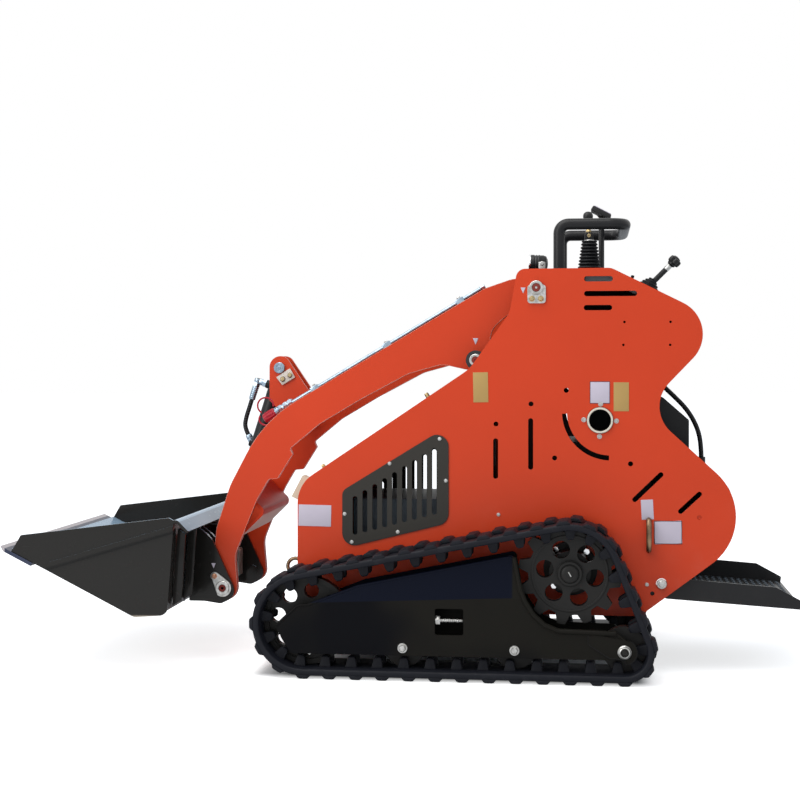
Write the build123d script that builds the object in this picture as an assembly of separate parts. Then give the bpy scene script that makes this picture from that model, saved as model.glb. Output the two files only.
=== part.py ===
"""Mini skid steer loader on rubber tracks, with lift arms, a quick coupler and a bucket.

Millimetres. -X is the front (bucket), +X the rear (operator's platform), +Z up,
-Y the machine's left side. The loader is drawn with X = 0 under the control levers
and the ground at GROUND_Z, then shifted so that the middle of its length is at X = 0
and the ground at Z = 0.
"""
import math
import os

from build123d import *

# Widths, each measured from the middle of the machine
TRACK_OUT = 480.0        # outer edge of a track
TRACK_WIDTH = 180.0
TRACK_MID = TRACK_OUT - TRACK_WIDTH / 2
TRACK_CLEAR = 15.0       # between a track and the body
BODY_OUT = TRACK_OUT - TRACK_WIDTH - TRACK_CLEAR     # outer face of a body side plate
BODY_WALL = 8.0
BODY_IN = BODY_OUT - BODY_WALL
LIFT_BAY = 61.0          # between a side plate and an arm plate, for a lift cylinder
ARM_OUT = BODY_IN - LIFT_BAY                         # outer face of an arm plate
ARM_WALL = 20.0
ARM_IN = ARM_OUT - ARM_WALL
LIFT_Y = (ARM_OUT + BODY_IN) / 2                     # middle of a lift cylinder
BUCKET_OUT = TRACK_OUT   # the bucket cuts the width of both tracks
PLATFORM_OUT = BODY_IN - 7.0
HOOP_Y = BODY_IN - 72.0

# Clearances
GAP = 0.3                # between pieces that seat on each other
RUN = 0.05               # radial, pin in bore
SWING = 6.0              # beside a moving piece

# Tracks: wheels as x, z, radius of the belt's inner face round them
GROUND_Z = -10.0
BELT = 19.0
LUG = 10.0
BELT_Z = GROUND_Z + LUG + BELT       # the belt's inner face along the ground
IDLER_X, IDLER_R = -800.0, 124.0
SPROCKET_X, SPROCKET_Z, SPROCKET_R = -61.0, 287.0, 125.0
TAIL_X, TAIL_R = 88.0, 62.0
ROLLER_XS = (-522.0, -212.0)
ROLLER_R = 60.0
IDLER_Z = BELT_Z + IDLER_R
TAIL_Z = BELT_Z + TAIL_R
ROLLER_Z = BELT_Z + ROLLER_R
WHEEL_HALF = 16.0        # half width of every wheel in the track
LINKS = 36
TEETH = 12
FRAME_HALF = 65.0        # half width of a track frame
FRAME_WALL = 6.0

# Pivots as x, z
ARM_PIVOT = (-158.0, 1085.0)
LIFT_BASE = (-330.0, 300.0)
LIFT_EYE = (-333.0, 878.0)
TILT_TOP = (-952.0, 855.0)
TILT_EYE = (-1115.0, 340.0)
COUPLER_PIN = (-1084.0, 205.0)
PLATFORM_PIVOT = (195.0, 246.0)
PIVOT_R = 20.0
PIN_R = 15.0

# Ends of the machine
LIP = (-1673.0, 349.0)
PLATFORM_END = 590.0
BELLY_Z = 153.0
DECK_Z = 1140.0

# Body side plate, corners as x, z, radius, clockwise from the nose
BODY = {
    "nose_foot": (-850.0, BELLY_Z, 20.0),
    "nose_top": (-850.0, 516.0, 100.0),
    "slope_top": (-349.0, 853.0, 120.0),
    "shoulder": (-234.0, 1014.0, 60.0),
    "crown_front": (-212.0, DECK_Z - 1.0, 27.0),
    "crown_rear": (54.0, DECK_Z, 40.0),
    "upper_bulge": (375.0, 980.0, 99.0),
    "notch": (148.0, 742.0, 96.0),
    "lower_bulge": (495.0, 425.0, 166.0),
    "tail_foot": (134.0, BELLY_Z, 25.0),
}
PANEL = 6.0              # thickness of the panels between the side plates
PANEL_INSET = 5.0        # how deep they sit inside the side plates' edges


def offset_rows(rows, distance, closed=True):
    """Corners moved to the left of travel by distance, with their radii to match."""
    moved = []
    count = len(rows)
    for i, (x, z, radius) in enumerate(rows):
        first = i == 0 and not closed
        last = i == count - 1 and not closed
        here = Vector(x, z)
        before = (here - Vector(*rows[i - 1][:2])).normalized() if not first else None
        after = (Vector(*rows[(i + 1) % count][:2]) - here).normalized() if not last else before
        before = before or after
        left_a = Vector(-before.Y, before.X)
        left_b = Vector(-after.Y, after.X)
        shift = (left_a + left_b) * (distance / (1 + left_a.dot(left_b)))
        turn = before.X * after.Y - before.Y * after.X
        grown = radius - distance if turn > 0 else radius + distance
        moved.append((x + shift.X, z + shift.Y, max(grown, 0.0) if radius else 0.0))
    return moved


def outline(rows):
    """Face in the XZ plane through corners given as x, z, radius."""
    bends = []
    count = len(rows)
    for i, (x, z, radius) in enumerate(rows):
        here = Vector(x, 0, z)
        if radius <= 0:
            bends.append((here, here, here))
            continue
        back = (Vector(rows[i - 1][0], 0, rows[i - 1][1]) - here).normalized()
        ahead = (Vector(rows[(i + 1) % count][0], 0, rows[(i + 1) % count][1]) - here).normalized()
        half = math.radians(back.get_angle(ahead)) / 2
        reach = radius / math.tan(half)
        middle = here + (back + ahead).normalized() * (radius / math.sin(half) - radius)
        bends.append((here + back * reach, middle, here + ahead * reach))
    edges = []
    for i, (start, middle, end) in enumerate(bends):
        if (end - start).length > 1e-6:
            edges.append(Edge.make_three_point_arc(start, middle, end))
        following = bends[(i + 1) % count][0]
        if (following - end).length > 1e-6:
            edges.append(Edge.make_line(end, following))
    return Face(Wire(edges))


def across(face, y0, y1):
    """Face of the XZ plane made a solid from y0 to y1."""
    return Solid.extrude(face.moved(Location((0, y0, 0))), Vector(0, y1 - y0, 0))


def slab(rows, y0, y1):
    return across(outline(rows), y0, y1)


def sheet(rows, thickness, y0, y1):
    """Bent sheet: an open path of corners, thickened to its left, from y0 to y1."""
    inner = offset_rows(rows, thickness, closed=False)
    return slab(rows + inner[::-1], y0, y1)


def disc(centre, radius, y0, y1):
    place = Plane(origin=(centre[0], min(y0, y1), centre[1]), z_dir=(0, 1, 0))
    return Solid.make_cylinder(radius, abs(y1 - y0), place)


def bar(start, end, radius):
    start, end = Vector(*start), Vector(*end)
    return Solid.make_cylinder(radius, (end - start).length, Plane(origin=start, z_dir=end - start))


def block(x0, x1, y0, y1, z0, z1):
    return Solid.make_box(x1 - x0, y1 - y0, z1 - z0, Plane(origin=(x0, y0, z0)))


def along(start, end, distance):
    """Point at a distance from start towards end, as x, z."""
    step = (Vector(*end[:2]) - Vector(*start[:2])).normalized() * distance
    return (start[0] + step.X, start[1] + step.Y)


def between(start, end, share):
    return (start[0] + (end[0] - start[0]) * share, start[1] + (end[1] - start[1]) * share)


def capsule(start, end, radius, y0, y1):
    """Slot-shaped cutter between two points given as x, z."""
    step = (Vector(end[0], 0, end[1]) - Vector(start[0], 0, start[1])).normalized() * radius
    side = Vector(-step.Z, 0, step.X)
    a, b = Vector(start[0], 0, start[1]), Vector(end[0], 0, end[1])
    wire = Wire([
        Edge.make_line(a + side, b + side),
        Edge.make_three_point_arc(b + side, b + step, b - side),
        Edge.make_line(b - side, a - side),
        Edge.make_three_point_arc(a - side, a - step, a + side),
    ])
    return across(Face(wire), y0, y1)


def both(shape):
    """A left piece and its mirrored right one."""
    return [shape, mirror(shape, about=Plane.XZ)]


def fused(first, *others):
    return first.fuse(*others)


def loop_bends(grow=0.0):
    """Track path clockwise from the front: wheel centre, radius, entry and exit normals."""
    wheels = [
        (Vector(IDLER_X, 0, IDLER_Z), IDLER_R + grow),
        (Vector(SPROCKET_X, 0, SPROCKET_Z), SPROCKET_R + grow),
        (Vector(TAIL_X, 0, TAIL_Z), TAIL_R + grow),
    ]
    normals = []
    for i, (centre, radius) in enumerate(wheels):
        ahead, ahead_radius = wheels[(i + 1) % len(wheels)]
        reach = ahead - centre
        along_part = (radius - ahead_radius) / reach.length
        unit = reach.normalized()
        left = Vector(-unit.Z, 0, unit.X)
        normals.append(unit * along_part + left * math.sqrt(1 - along_part ** 2))
    return [(centre, radius, normals[i - 1], normals[i]) for i, (centre, radius) in enumerate(wheels)]


def loop_face(grow=0.0):
    bends = loop_bends(grow)
    edges = []
    for i, (centre, radius, entry, leave) in enumerate(bends):
        middle = centre + (entry + leave).normalized() * radius
        edges.append(Edge.make_three_point_arc(centre + entry * radius, middle, centre + leave * radius))
        ahead, ahead_radius, ahead_entry, _ = bends[(i + 1) % len(bends)]
        edges.append(Edge.make_line(centre + leave * radius, ahead + ahead_entry * ahead_radius))
    return Face(Wire(edges))


def loop_stations(grow, count, phase=0.0):
    """Evenly spaced places round the loop: point, outward normal."""
    pieces = []
    bends = loop_bends(grow)
    for i, (centre, radius, entry, leave) in enumerate(bends):
        sweep = math.radians(entry.get_angle(leave))
        pieces.append(("arc", radius * sweep, centre, radius, entry))
        ahead, ahead_radius, ahead_entry, _ = bends[(i + 1) % len(bends)]
        start = centre + leave * radius
        run = ahead + ahead_entry * ahead_radius - start
        pieces.append(("run", run.length, start, run.normalized(), leave))
    total = sum(piece[1] for piece in pieces)
    stations = []
    for i in range(count):
        left = (i + phase) * total / count
        for kind, length, origin, size, normal in pieces:
            if left <= length:
                break
            left -= length
        if kind == "run":
            stations.append((origin + size * left, normal))
        else:
            outward = normal.rotate(Axis.Y, math.degrees(left / size))
            stations.append((origin + outward * size, outward))
    return stations


def lump(station, base, tip, height, sunk, y0, y1):
    """Tapered block standing on the loop; a negative height stands inwards."""
    point, normal = station
    tangent = Vector(normal.Z, 0, -normal.X)
    foot = point - normal * math.copysign(sunk, height)
    top = point + normal * height
    corners = [
        foot - tangent * base / 2,
        top - tangent * tip / 2,
        top + tangent * tip / 2,
        foot + tangent * base / 2,
    ]
    return across(Face(Wire.make_polygon(corners, close=True)), y0, y1)


LUG_BASE, LUG_TIP = 44.0, 26.0
GUIDE_BASE, GUIDE_TIP, GUIDE_HEIGHT = 33.0, 20.0, 32.0
GUIDE_NEAR, GUIDE_FAR = 20.0, 45.0     # guide lugs' sides, from the middle of the track
LUG_OVERLAP = 6.0                      # the two rows of lugs pass the middle by this
SUNK = 2.0


def track():
    """Left track: belt with two staggered rows of lugs outside and two guide rows inside."""
    near, far = -TRACK_OUT, -TRACK_OUT + TRACK_WIDTH
    belt = across(loop_face(BELT), near, far) - across(loop_face(), near - 1, far + 1)
    rows = [
        (0.0, near, -TRACK_MID + LUG_OVERLAP),
        (0.5, -TRACK_MID - LUG_OVERLAP, far),
    ]
    lumps = []
    for phase, y0, y1 in rows:
        for station in loop_stations(BELT, LINKS, phase):
            lumps.append(lump(station, LUG_BASE, LUG_TIP, LUG, SUNK, y0, y1))
    for side in (-1, 1):
        y0, y1 = sorted((-TRACK_MID + side * GUIDE_NEAR, -TRACK_MID + side * GUIDE_FAR))
        for station in loop_stations(0.0, LINKS, 0.25):
            lumps.append(lump(station, GUIDE_BASE, GUIDE_TIP, -GUIDE_HEIGHT, SUNK, y0, y1))
    return fused(belt, *lumps)


HUB_R, HUB_HEIGHT = 36.0, 10.0
HUB_CAP_R, HUB_CAP_HEIGHT = 21.5, 8.0
SPROCKET_ROOT, SPROCKET_TIP = 116.0, 143.0
ROOT_HALF, TIP_HALF = 10.0, 4.5      # degrees, half a tooth at its root and at its tip
TOOTH_PHASE = -10.0
TOOTH_CLEAR = 2.0                    # between a tooth and the belt wrapped round it
SPROCKET_HOLES, SPROCKET_HOLE_R, SPROCKET_HOLE_PCR, SPROCKET_HOLE_PHASE = 6, 24.5, 70.0, -9.6
IDLER_HOLES, IDLER_HOLE_R, IDLER_HOLE_PCR, IDLER_HOLE_PHASE = 8, 21.0, 84.0, 37.0
IDLER_RIM, IDLER_RECESS = 14.0, 8.0
AXLE_R = 9.0
MOTOR_R, MOTOR_FLANGE, MOTOR_FLANGE_WALL = 58.0, 18.0, 14.0


def ring_of_holes(centre, count, circle, radius, start, y0, y1):
    holes = []
    for i in range(count):
        angle = math.radians(start + i * 360 / count)
        at = (centre[0] + circle * math.cos(angle), centre[1] + circle * math.sin(angle))
        holes.append(disc(at, radius, y0, y1))
    return holes


def sprocket():
    centre = (SPROCKET_X, SPROCKET_Z)
    near, far = -TRACK_MID - WHEEL_HALF, -TRACK_MID + WHEEL_HALF
    tooth = (
        (SPROCKET_ROOT, -ROOT_HALF), (SPROCKET_TIP, -TIP_HALF),
        (SPROCKET_TIP, TIP_HALF), (SPROCKET_ROOT, ROOT_HALF),
    )
    points = []
    for i in range(TEETH):
        for radius, offset in tooth:
            angle = math.radians(TOOTH_PHASE + i * 360 / TEETH + offset)
            points.append((centre[0] + radius * math.cos(angle), centre[1] + radius * math.sin(angle), 0))
    wheel = slab(points, near, far) & across(loop_face(-TOOTH_CLEAR), near - 1, far + 1)
    wheel = wheel.cut(*ring_of_holes(
        centre, SPROCKET_HOLES, SPROCKET_HOLE_PCR, SPROCKET_HOLE_R, SPROCKET_HOLE_PHASE, near - 1, far + 1))
    hub = disc(centre, HUB_R, near - HUB_HEIGHT, near)
    cap = disc(centre, HUB_CAP_R, near - HUB_HEIGHT - HUB_CAP_HEIGHT, near - HUB_HEIGHT)
    return fused(wheel, hub, cap)


def drive_motor():
    centre = (SPROCKET_X, SPROCKET_Z)
    inner_face = -TRACK_MID + WHEEL_HALF
    flange = disc(centre, MOTOR_R + MOTOR_FLANGE, -BODY_OUT - MOTOR_FLANGE_WALL, -BODY_OUT)
    case = disc(centre, MOTOR_R, inner_face, -BODY_OUT - MOTOR_FLANGE_WALL)
    return fused(flange, case)


def idler():
    centre = (IDLER_X, IDLER_Z)
    near, far = -TRACK_MID - WHEEL_HALF, -TRACK_MID + WHEEL_HALF
    wheel = disc(centre, IDLER_R, near, far)
    recess = disc(centre, IDLER_R - IDLER_RIM, near - 1, near + IDLER_RECESS)
    recess = recess - disc(centre, HUB_R, near - 2, near + IDLER_RECESS + 1)
    wheel = wheel.cut(recess, *ring_of_holes(
        centre, IDLER_HOLES, IDLER_HOLE_PCR, IDLER_HOLE_R, IDLER_HOLE_PHASE, near - 2, far + 1))
    axle_half = FRAME_HALF - FRAME_WALL
    axle = disc(centre, PIVOT_R, -TRACK_MID - axle_half, -TRACK_MID + axle_half)
    return fused(wheel, axle)


def rollers():
    """Two bottom rollers and the rear idler, each on its own bolt through the frame."""
    wheels = []
    places = [(x, ROLLER_Z, ROLLER_R) for x in ROLLER_XS] + [(TAIL_X, TAIL_Z, TAIL_R)]
    axle_half = FRAME_HALF - FRAME_WALL
    for x, z, radius in places:
        wheel = disc((x, z), radius, -TRACK_MID - WHEEL_HALF, -TRACK_MID + WHEEL_HALF)
        axle = disc((x, z), AXLE_R, -TRACK_MID - axle_half, -TRACK_MID + axle_half)
        wheels.append(fused(wheel, axle))
    return wheels


FRAME_FOOT = 58.0
FRAME_LEAN = 10.0        # degrees that the frame's upper side leans in
FRAME_RISE = 160.0       # more than the frame stands above its fold
FRAME_SPARE = 200.0      # more than it reaches below its fold, and past the fold's ends
FOLD = [(-785.0, 200.0), (-210.0, 223.0)]
FRAME_SIDE = [
    (-881.0, 136.0, 0), (-818.0, 195.0, 8), (-787.0, 196.0, 0), (-646.0, 251.0, 15), (-214.0, 339.0, 12),
    (-199.0, 251.0, 0), (-187.0, 222.0, 0), (-164.0, 185.0, 0), (-132.0, 156.0, 0), (-94.0, 141.0, 0),
    (62.0, 137.0, 8), (TAIL_X + 30, TAIL_Z + 6, 20), (TAIL_X - 38, FRAME_FOOT, 20),
    (-837.0, FRAME_FOOT, 20), (-863.0, 98.0, 15),
]
WINDOW = [(-432.0, 117.0, 6), (-432.0, 190.0, 6), (-353.0, 190.0, 6), (-353.0, 117.0, 6)]
COVER = [(-690.0, 205.0, 0), (-640.0, 232.0, 10), (-236.0, 314.0, 10), (-222.0, 240.0, 0)]
SPACER_X, SPACER_Z = (-420.0, -360.0), (205.0, 240.0)


def along_fold(section):
    """Solid along the frame's fold, its section given as y and height over the fold."""
    start, end = Vector(FOLD[0][0], 0, FOLD[0][1]), Vector(FOLD[1][0], 0, FOLD[1][1])
    run = (end - start).normalized()
    up = Vector(-run.Z, 0, run.X)
    foot = start - run * FRAME_SPARE
    corners = [foot + Vector(0, y, 0) + up * height for y, height in section]
    length = (end - start).length + 3 * FRAME_SPARE
    return Solid.extrude(Face(Wire.make_polygon(corners, close=True)), run * length)


def frame_section(near):
    """Outer side of a track frame from below the fold to above it, leaning in."""
    lean = math.radians(FRAME_LEAN)
    top = (near + FRAME_RISE * math.sin(lean), FRAME_RISE * math.cos(lean), 0)
    return [(near, -FRAME_SPARE, 0), (near, 0, 0), top]


def track_frame():
    """Left frame: two side plates, the outer one leaning in above its fold, a cover and a spacer."""
    near, far = -TRACK_MID - FRAME_HALF, -TRACK_MID + FRAME_HALF
    path = frame_section(near)
    back = offset_rows(path, -FRAME_WALL, closed=False)[::-1]
    outer = along_fold([row[:2] for row in path + back]) & slab(FRAME_SIDE, near - 1, far)
    outer = outer - slab(WINDOW, near - 1, near + FRAME_WALL + 1)
    inner = slab(FRAME_SIDE, far - FRAME_WALL, far)
    middle = [row[:2] for row in offset_rows(path, -FRAME_WALL / 2, closed=False)]
    inside = along_fold(middle + [(far - FRAME_WALL / 2, middle[-1][1]), (far - FRAME_WALL / 2, middle[0][1])])
    cover = sheet(COVER, -FRAME_WALL, near, far) & inside
    spacer = block(*SPACER_X, near, far, *SPACER_Z) & inside
    return fused(outer, inner, cover, spacer)


TUBE, TUBE_WALL = 60.0, 5.0
TUBE_XS = (-640.0, -330.0)


def cross_tubes():
    """Square tubes that carry the body on the two track frames."""
    reach = TRACK_MID - FRAME_HALF
    tubes = []
    for x in TUBE_XS:
        tube = block(x - TUBE / 2, x + TUBE / 2, -reach, reach, BELLY_Z - TUBE, BELLY_Z)
        half = TUBE / 2 - TUBE_WALL
        bore = block(
            x - half, x + half, -reach - 1, reach + 1, BELLY_Z - TUBE + TUBE_WALL, BELLY_Z - TUBE_WALL)
        tubes.append(tube - bore)
    return tubes


# Body side plates with their windows, slots and holes
GRILLE = [
    (-718.0, 332.0, 36), (-718.0, 500.0, 24), (-409.0, 690.0, 34), (-409.0, 410.0, 36),
]
GRILLE_LAP = 18.0
GRILLE_WALL = 3.0
GRILLE_SLOTS, GRILLE_PITCH, GRILLE_SLOT_R = 9, 25.2, 7.0
SLOT_FIRST, SLOT_FOOT, SLOT_TOP = -680.5, 373.0, 484.5
SLOT_FOOT_RISE, SLOT_TOP_RISE = 7.6, 17.6

BODY_SLOTS = [           # start x, z, end x, z, radius
    (-15.0, 1109.0, 51.0, 1109.0, 7.5),
    (-15.0, 1067.0, 119.0, 1067.0, 7.5),
    (-16.0, 1027.0, 49.0, 1027.0, 7.5),
    (-274.0, 545.0, -274.0, 647.0, 7.0),
    (-174.0, 572.0, -174.0, 705.0, 7.0),
    (120.0, 483.0, 193.0, 554.0, 7.0),
    (248.0, 451.0, 300.0, 500.0, 7.0),
]
BODY_HOLES = [           # x, z, radius
    (-73.0, 792.0, 7.0), (-173.0, 753.0, 7.0), (-273.0, 695.0, 7.0), (-106.0, 599.0, 7.0),
    (108.0, 584.0, 7.0), (300.0, 434.0, 6.0), (169.0, 218.0, 6.0),
    (91.0, 986.0, 3.5), (220.0, 986.0, 3.5), (88.0, 921.0, 3.5), (219.0, 921.0, 3.5),
]
CURVED_SLOT = (52.0, 730.0, 130.0, 182.0, 268.0)   # centre x, z, radius, from and to degrees
CURVED_SLOT_HALF = 7.0
EXHAUST = (22.5, 707.0)
EXHAUST_R, EXHAUST_WALL = 36.0, 4.0
EXHAUST_CLEAR = 2.0      # round the outlet, in the side plate


def side_plate():
    near, far = -BODY_OUT, -BODY_IN
    cut0, cut1 = near - 1, far + 1
    plate = slab(list(BODY.values()), near, far)
    window = slab(offset_rows(GRILLE, -GRILLE_LAP), cut0, cut1)
    holes = [window, disc(EXHAUST, EXHAUST_R + EXHAUST_CLEAR, cut0, cut1), disc(ARM_PIVOT, PIVOT_R + GAP, cut0, cut1)]
    holes.append(disc(PLATFORM_PIVOT, PIN_R + GAP, cut0, cut1))
    for x0, z0, x1, z1, radius in BODY_SLOTS:
        holes.append(capsule((x0, z0), (x1, z1), radius, cut0, cut1))
    for x, z, radius in BODY_HOLES:
        holes.append(disc((x, z), radius, cut0, cut1))
    cx, cz, arc_r, first, last = CURVED_SLOT
    band = disc((cx, cz), arc_r + CURVED_SLOT_HALF, cut0, cut1)
    band = band - disc((cx, cz), arc_r - CURVED_SLOT_HALF, cut0 - 1, cut1 + 1)
    reach = 2 * arc_r
    corners = [(cx, cz, 0)]
    for degrees in (first, (first + last) / 2, last):
        angle = math.radians(degrees)
        corners.append((cx + reach * math.cos(angle), cz + reach * math.sin(angle), 0))
    holes.append(band & slab(corners, cut0, cut1))
    return plate.cut(*holes)


def grille():
    near, far = -BODY_OUT - GRILLE_WALL, -BODY_OUT
    plate = slab(GRILLE, near, far)
    slots = []
    for i in range(GRILLE_SLOTS):
        x = SLOT_FIRST + i * GRILLE_PITCH * 8 / 7
        foot = (x, SLOT_FOOT + i * SLOT_FOOT_RISE + GRILLE_SLOT_R)
        top = (x, SLOT_TOP + i * SLOT_TOP_RISE - GRILLE_SLOT_R)
        slots.append(capsule(foot, top, GRILLE_SLOT_R, near - 1, far + 1))
    return plate.cut(*slots)


INNER = dict(zip(BODY, offset_rows(list(BODY.values()), -PANEL_INSET)))


def front_panel():
    """Nose sheet from the belly up and round onto the slope."""
    low, top, slope = INNER["nose_foot"], INNER["nose_top"], INNER["slope_top"]
    rows = [(low[0], BELLY_Z + PANEL, 0), top, (*between(top, slope, 0.2), 0)]
    return sheet(rows, -PANEL, -BODY_IN, BODY_IN)


HOOD_END = 0.86          # share of the slope that the hood reaches
HOOD_WALL, HOOD_LIP, HOOD_LIP_LEAN = 4.0, 60.0, 8.0


def hood_panel():
    top, slope = INNER["nose_top"], INNER["slope_top"]
    start, end = between(top, slope, 0.2), between(top, slope, HOOD_END)
    start = along(start, slope, GAP)
    rows = [(*start, 0), (*end, 14), (end[0] + HOOD_LIP_LEAN, end[1] - HOOD_LIP, 0)]
    return sheet(rows, -HOOD_WALL, -BODY_IN, BODY_IN)


DECK_FRONT = -116.0
DECK_END = 0.6           # share of the rear slope that the deck reaches
BULKHEAD_FOOT = 760.0


def top_deck():
    crown, bulge = INNER["crown_rear"], INNER["upper_bulge"]
    rows = [(DECK_FRONT, crown[1], 0), crown, (*between(crown, bulge, DECK_END), 0)]
    return sheet(rows, -PANEL, -BODY_IN, BODY_IN)


def bulkhead():
    """Wall between the arm bay and the engine bay, hung from the deck."""
    top = INNER["crown_rear"][1] - PANEL
    front = DECK_FRONT + PANEL
    return block(front, front + PANEL, -BODY_IN, BODY_IN, BULKHEAD_FOOT, top)


RETURN_FOOT = (205.0, 310.0)
RETURN_SHARE, RETURN_BEND = 0.84, 70.0   # where the lower sheet turns in, and its bend
UPPER_SHARE = 0.28       # share of the way from the notch to the knee that the upper sheet reaches


def rear_panels():
    """Upper sheet round the thigh bulge and into the notch, lower sheet round the knee bulge."""
    crown, bulge, notch = INNER["crown_rear"], INNER["upper_bulge"], INNER["notch"]
    knee = INNER["lower_bulge"]
    start = along(between(crown, bulge, DECK_END), bulge, GAP)
    middle = between(notch, knee, UPPER_SHARE)
    upper = sheet([(*start, 0), bulge, notch, (*middle, 0)], -PANEL, -BODY_IN, BODY_IN)
    begin = along(middle, knee, GAP)
    turn = (*between(notch, knee, RETURN_SHARE), RETURN_BEND)
    lower = sheet([(*begin, 0), turn, (*RETURN_FOOT, 0)], -PANEL, -BODY_IN, BODY_IN)
    root, out = cable_start()
    upper = fused(upper, bar(root - out * PANEL / 2, root + out * GLAND_HEIGHT, GLAND_R))
    foot_x, foot_z = CABLE_FOOT
    lower = fused(lower, bar((foot_x, CABLE_FOOT_Y, GLAND_FOOT_Z), (foot_x, CABLE_FOOT_Y, foot_z), GLAND_R))
    return [upper, lower]


def belly_pan():
    return block(INNER["nose_foot"][0], BELLY_END, -BODY_IN, BODY_IN, BELLY_Z, FLOOR_Z)


BELLY_END = 100.0
FLOOR_Z = BELLY_Z + PANEL
ENGINE_X, ENGINE_Z = (-90.0, 170.0), (300.0, 640.0)
ENGINE_HALF = BODY_IN - 97.0
ENGINE_FEET, ENGINE_FOOT = (-80.0, 20.0), 50.0
TANK_X, TANK_TOP = (-700.0, -440.0), 470.0
TANK_HALF = BODY_IN - 87.0


def engine_block():
    """Plain block at the engine's place, on its two feet."""
    body = block(*ENGINE_X, -ENGINE_HALF, ENGINE_HALF, *ENGINE_Z)
    feet = [block(x, x + ENGINE_FOOT, -ENGINE_HALF, ENGINE_HALF, FLOOR_Z, ENGINE_Z[0]) for x in ENGINE_FEET]
    return fused(body, *feet)


def tank():
    return block(*TANK_X, -TANK_HALF, TANK_HALF, FLOOR_Z, TANK_TOP)


MUFFLER_R, MUFFLER_LEFT, MUFFLER_RIGHT = 60.0, -BODY_IN + 107.0, 60.0
SADDLE_HALF, SADDLE_INSET = 30.0, 20.0
OUTLET_REACH, OUTLET_DEPTH = 6.0, 10.0     # how far it stands out, and its bore enters the muffler
FLANGE_R, FLANGE_WALL = 52.0, 5.0


def exhaust():
    """Muffler over the engine with its outlet through the left side plate."""
    x, z = EXHAUST
    muffler = disc(EXHAUST, MUFFLER_R, MUFFLER_LEFT, MUFFLER_RIGHT)
    saddle = block(
        x - SADDLE_HALF, x + SADDLE_HALF, MUFFLER_LEFT + SADDLE_INSET, MUFFLER_RIGHT - SADDLE_INSET,
        ENGINE_Z[1], z - MUFFLER_R / 2)
    end = -BODY_OUT - OUTLET_REACH
    outlet = disc(EXHAUST, EXHAUST_R, end, MUFFLER_LEFT)
    flange = disc(EXHAUST, FLANGE_R, -BODY_IN + GAP, -BODY_IN + FLANGE_WALL + GAP)
    bore = disc(EXHAUST, EXHAUST_R - EXHAUST_WALL, end - 1, MUFFLER_LEFT - OUTLET_DEPTH)
    return fused(muffler, saddle, outlet, flange) - bore


HOOP_R = 16.5
HOOP_FRONT_BEND, HOOP_REAR_BEND = 27.0, 45.0
HOOP_FRONT, HOOP_REAR, HOOP_TOP = -95.0, 95.0, 1272.0
HOOP_FOOT, HOOP_FOOT_WALL = 12.0, 8.0
DECK_TOP = DECK_Z - PANEL_INSET


def handle_hoop():
    path = FilletPolyline(
        (HOOP_FRONT, -HOOP_Y, DECK_TOP), (HOOP_FRONT, -HOOP_Y, HOOP_TOP), (HOOP_REAR, -HOOP_Y, HOOP_TOP),
        (HOOP_REAR, HOOP_Y, HOOP_TOP), (HOOP_FRONT, HOOP_Y, HOOP_TOP), (HOOP_FRONT, HOOP_Y, DECK_TOP),
        radius=[HOOP_FRONT_BEND, HOOP_REAR_BEND, HOOP_REAR_BEND, HOOP_FRONT_BEND],
    )
    section = Plane(origin=(HOOP_FRONT, -HOOP_Y, DECK_TOP), z_dir=(0, 0, 1)) * Circle(HOOP_R)
    tube = sweep(section, path=path)
    feet = []
    for y in (-HOOP_Y, HOOP_Y):
        place = Plane(origin=(HOOP_FRONT, y, DECK_TOP), z_dir=(0, 0, 1))
        feet.append(Solid.make_cylinder(HOOP_R + HOOP_FOOT, HOOP_FOOT_WALL, place))
    return fused(tube.solids()[0], *feet)


LEVER_X, LEVER_Y = -8.0, 70.0
BOOT_FOOT_R, BOOT_NECK_R, BOOT_HEIGHT = 36.0, 25.0, 98.0
BOOT_FOLDS, BOOT_FOLD = 9, 5.0           # number of folds and their depth
STICK_R, STICK_LEAN = 6.0, 4.0
BALL_R, BALL_Z = 15.0, 1306.0
COLUMN_X, COLUMN_R = 28.0, 8.0
POD_CORNER = (-4.5, 1329.0)              # the pod's front lower corner as x, z
POD_LENGTH, POD_WIDTH, POD_WALL, POD_TILT = 63.5, 84.0, 16.0, 28.0


def lever_boot(y):
    """Ribbed boot on the deck, turned from its zigzag outline."""
    profile = [(0.0, 0.0)]
    for i in range(BOOT_FOLDS):
        wide = BOOT_FOOT_R + (BOOT_NECK_R - BOOT_FOOT_R) * i / (BOOT_FOLDS - 1)
        profile.append((wide, BOOT_HEIGHT * i / BOOT_FOLDS))
        profile.append((wide - BOOT_FOLD, BOOT_HEIGHT * (i + 0.5) / BOOT_FOLDS))
    profile += [(2 * STICK_R, BOOT_HEIGHT), (0.0, BOOT_HEIGHT)]
    corners = [Vector(LEVER_X + radius, y, DECK_TOP + height) for radius, height in profile]
    return Solid.revolve(Face(Wire.make_polygon(corners, close=True)), 360, Axis((LEVER_X, y, 0), (0, 0, 1)))


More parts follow.
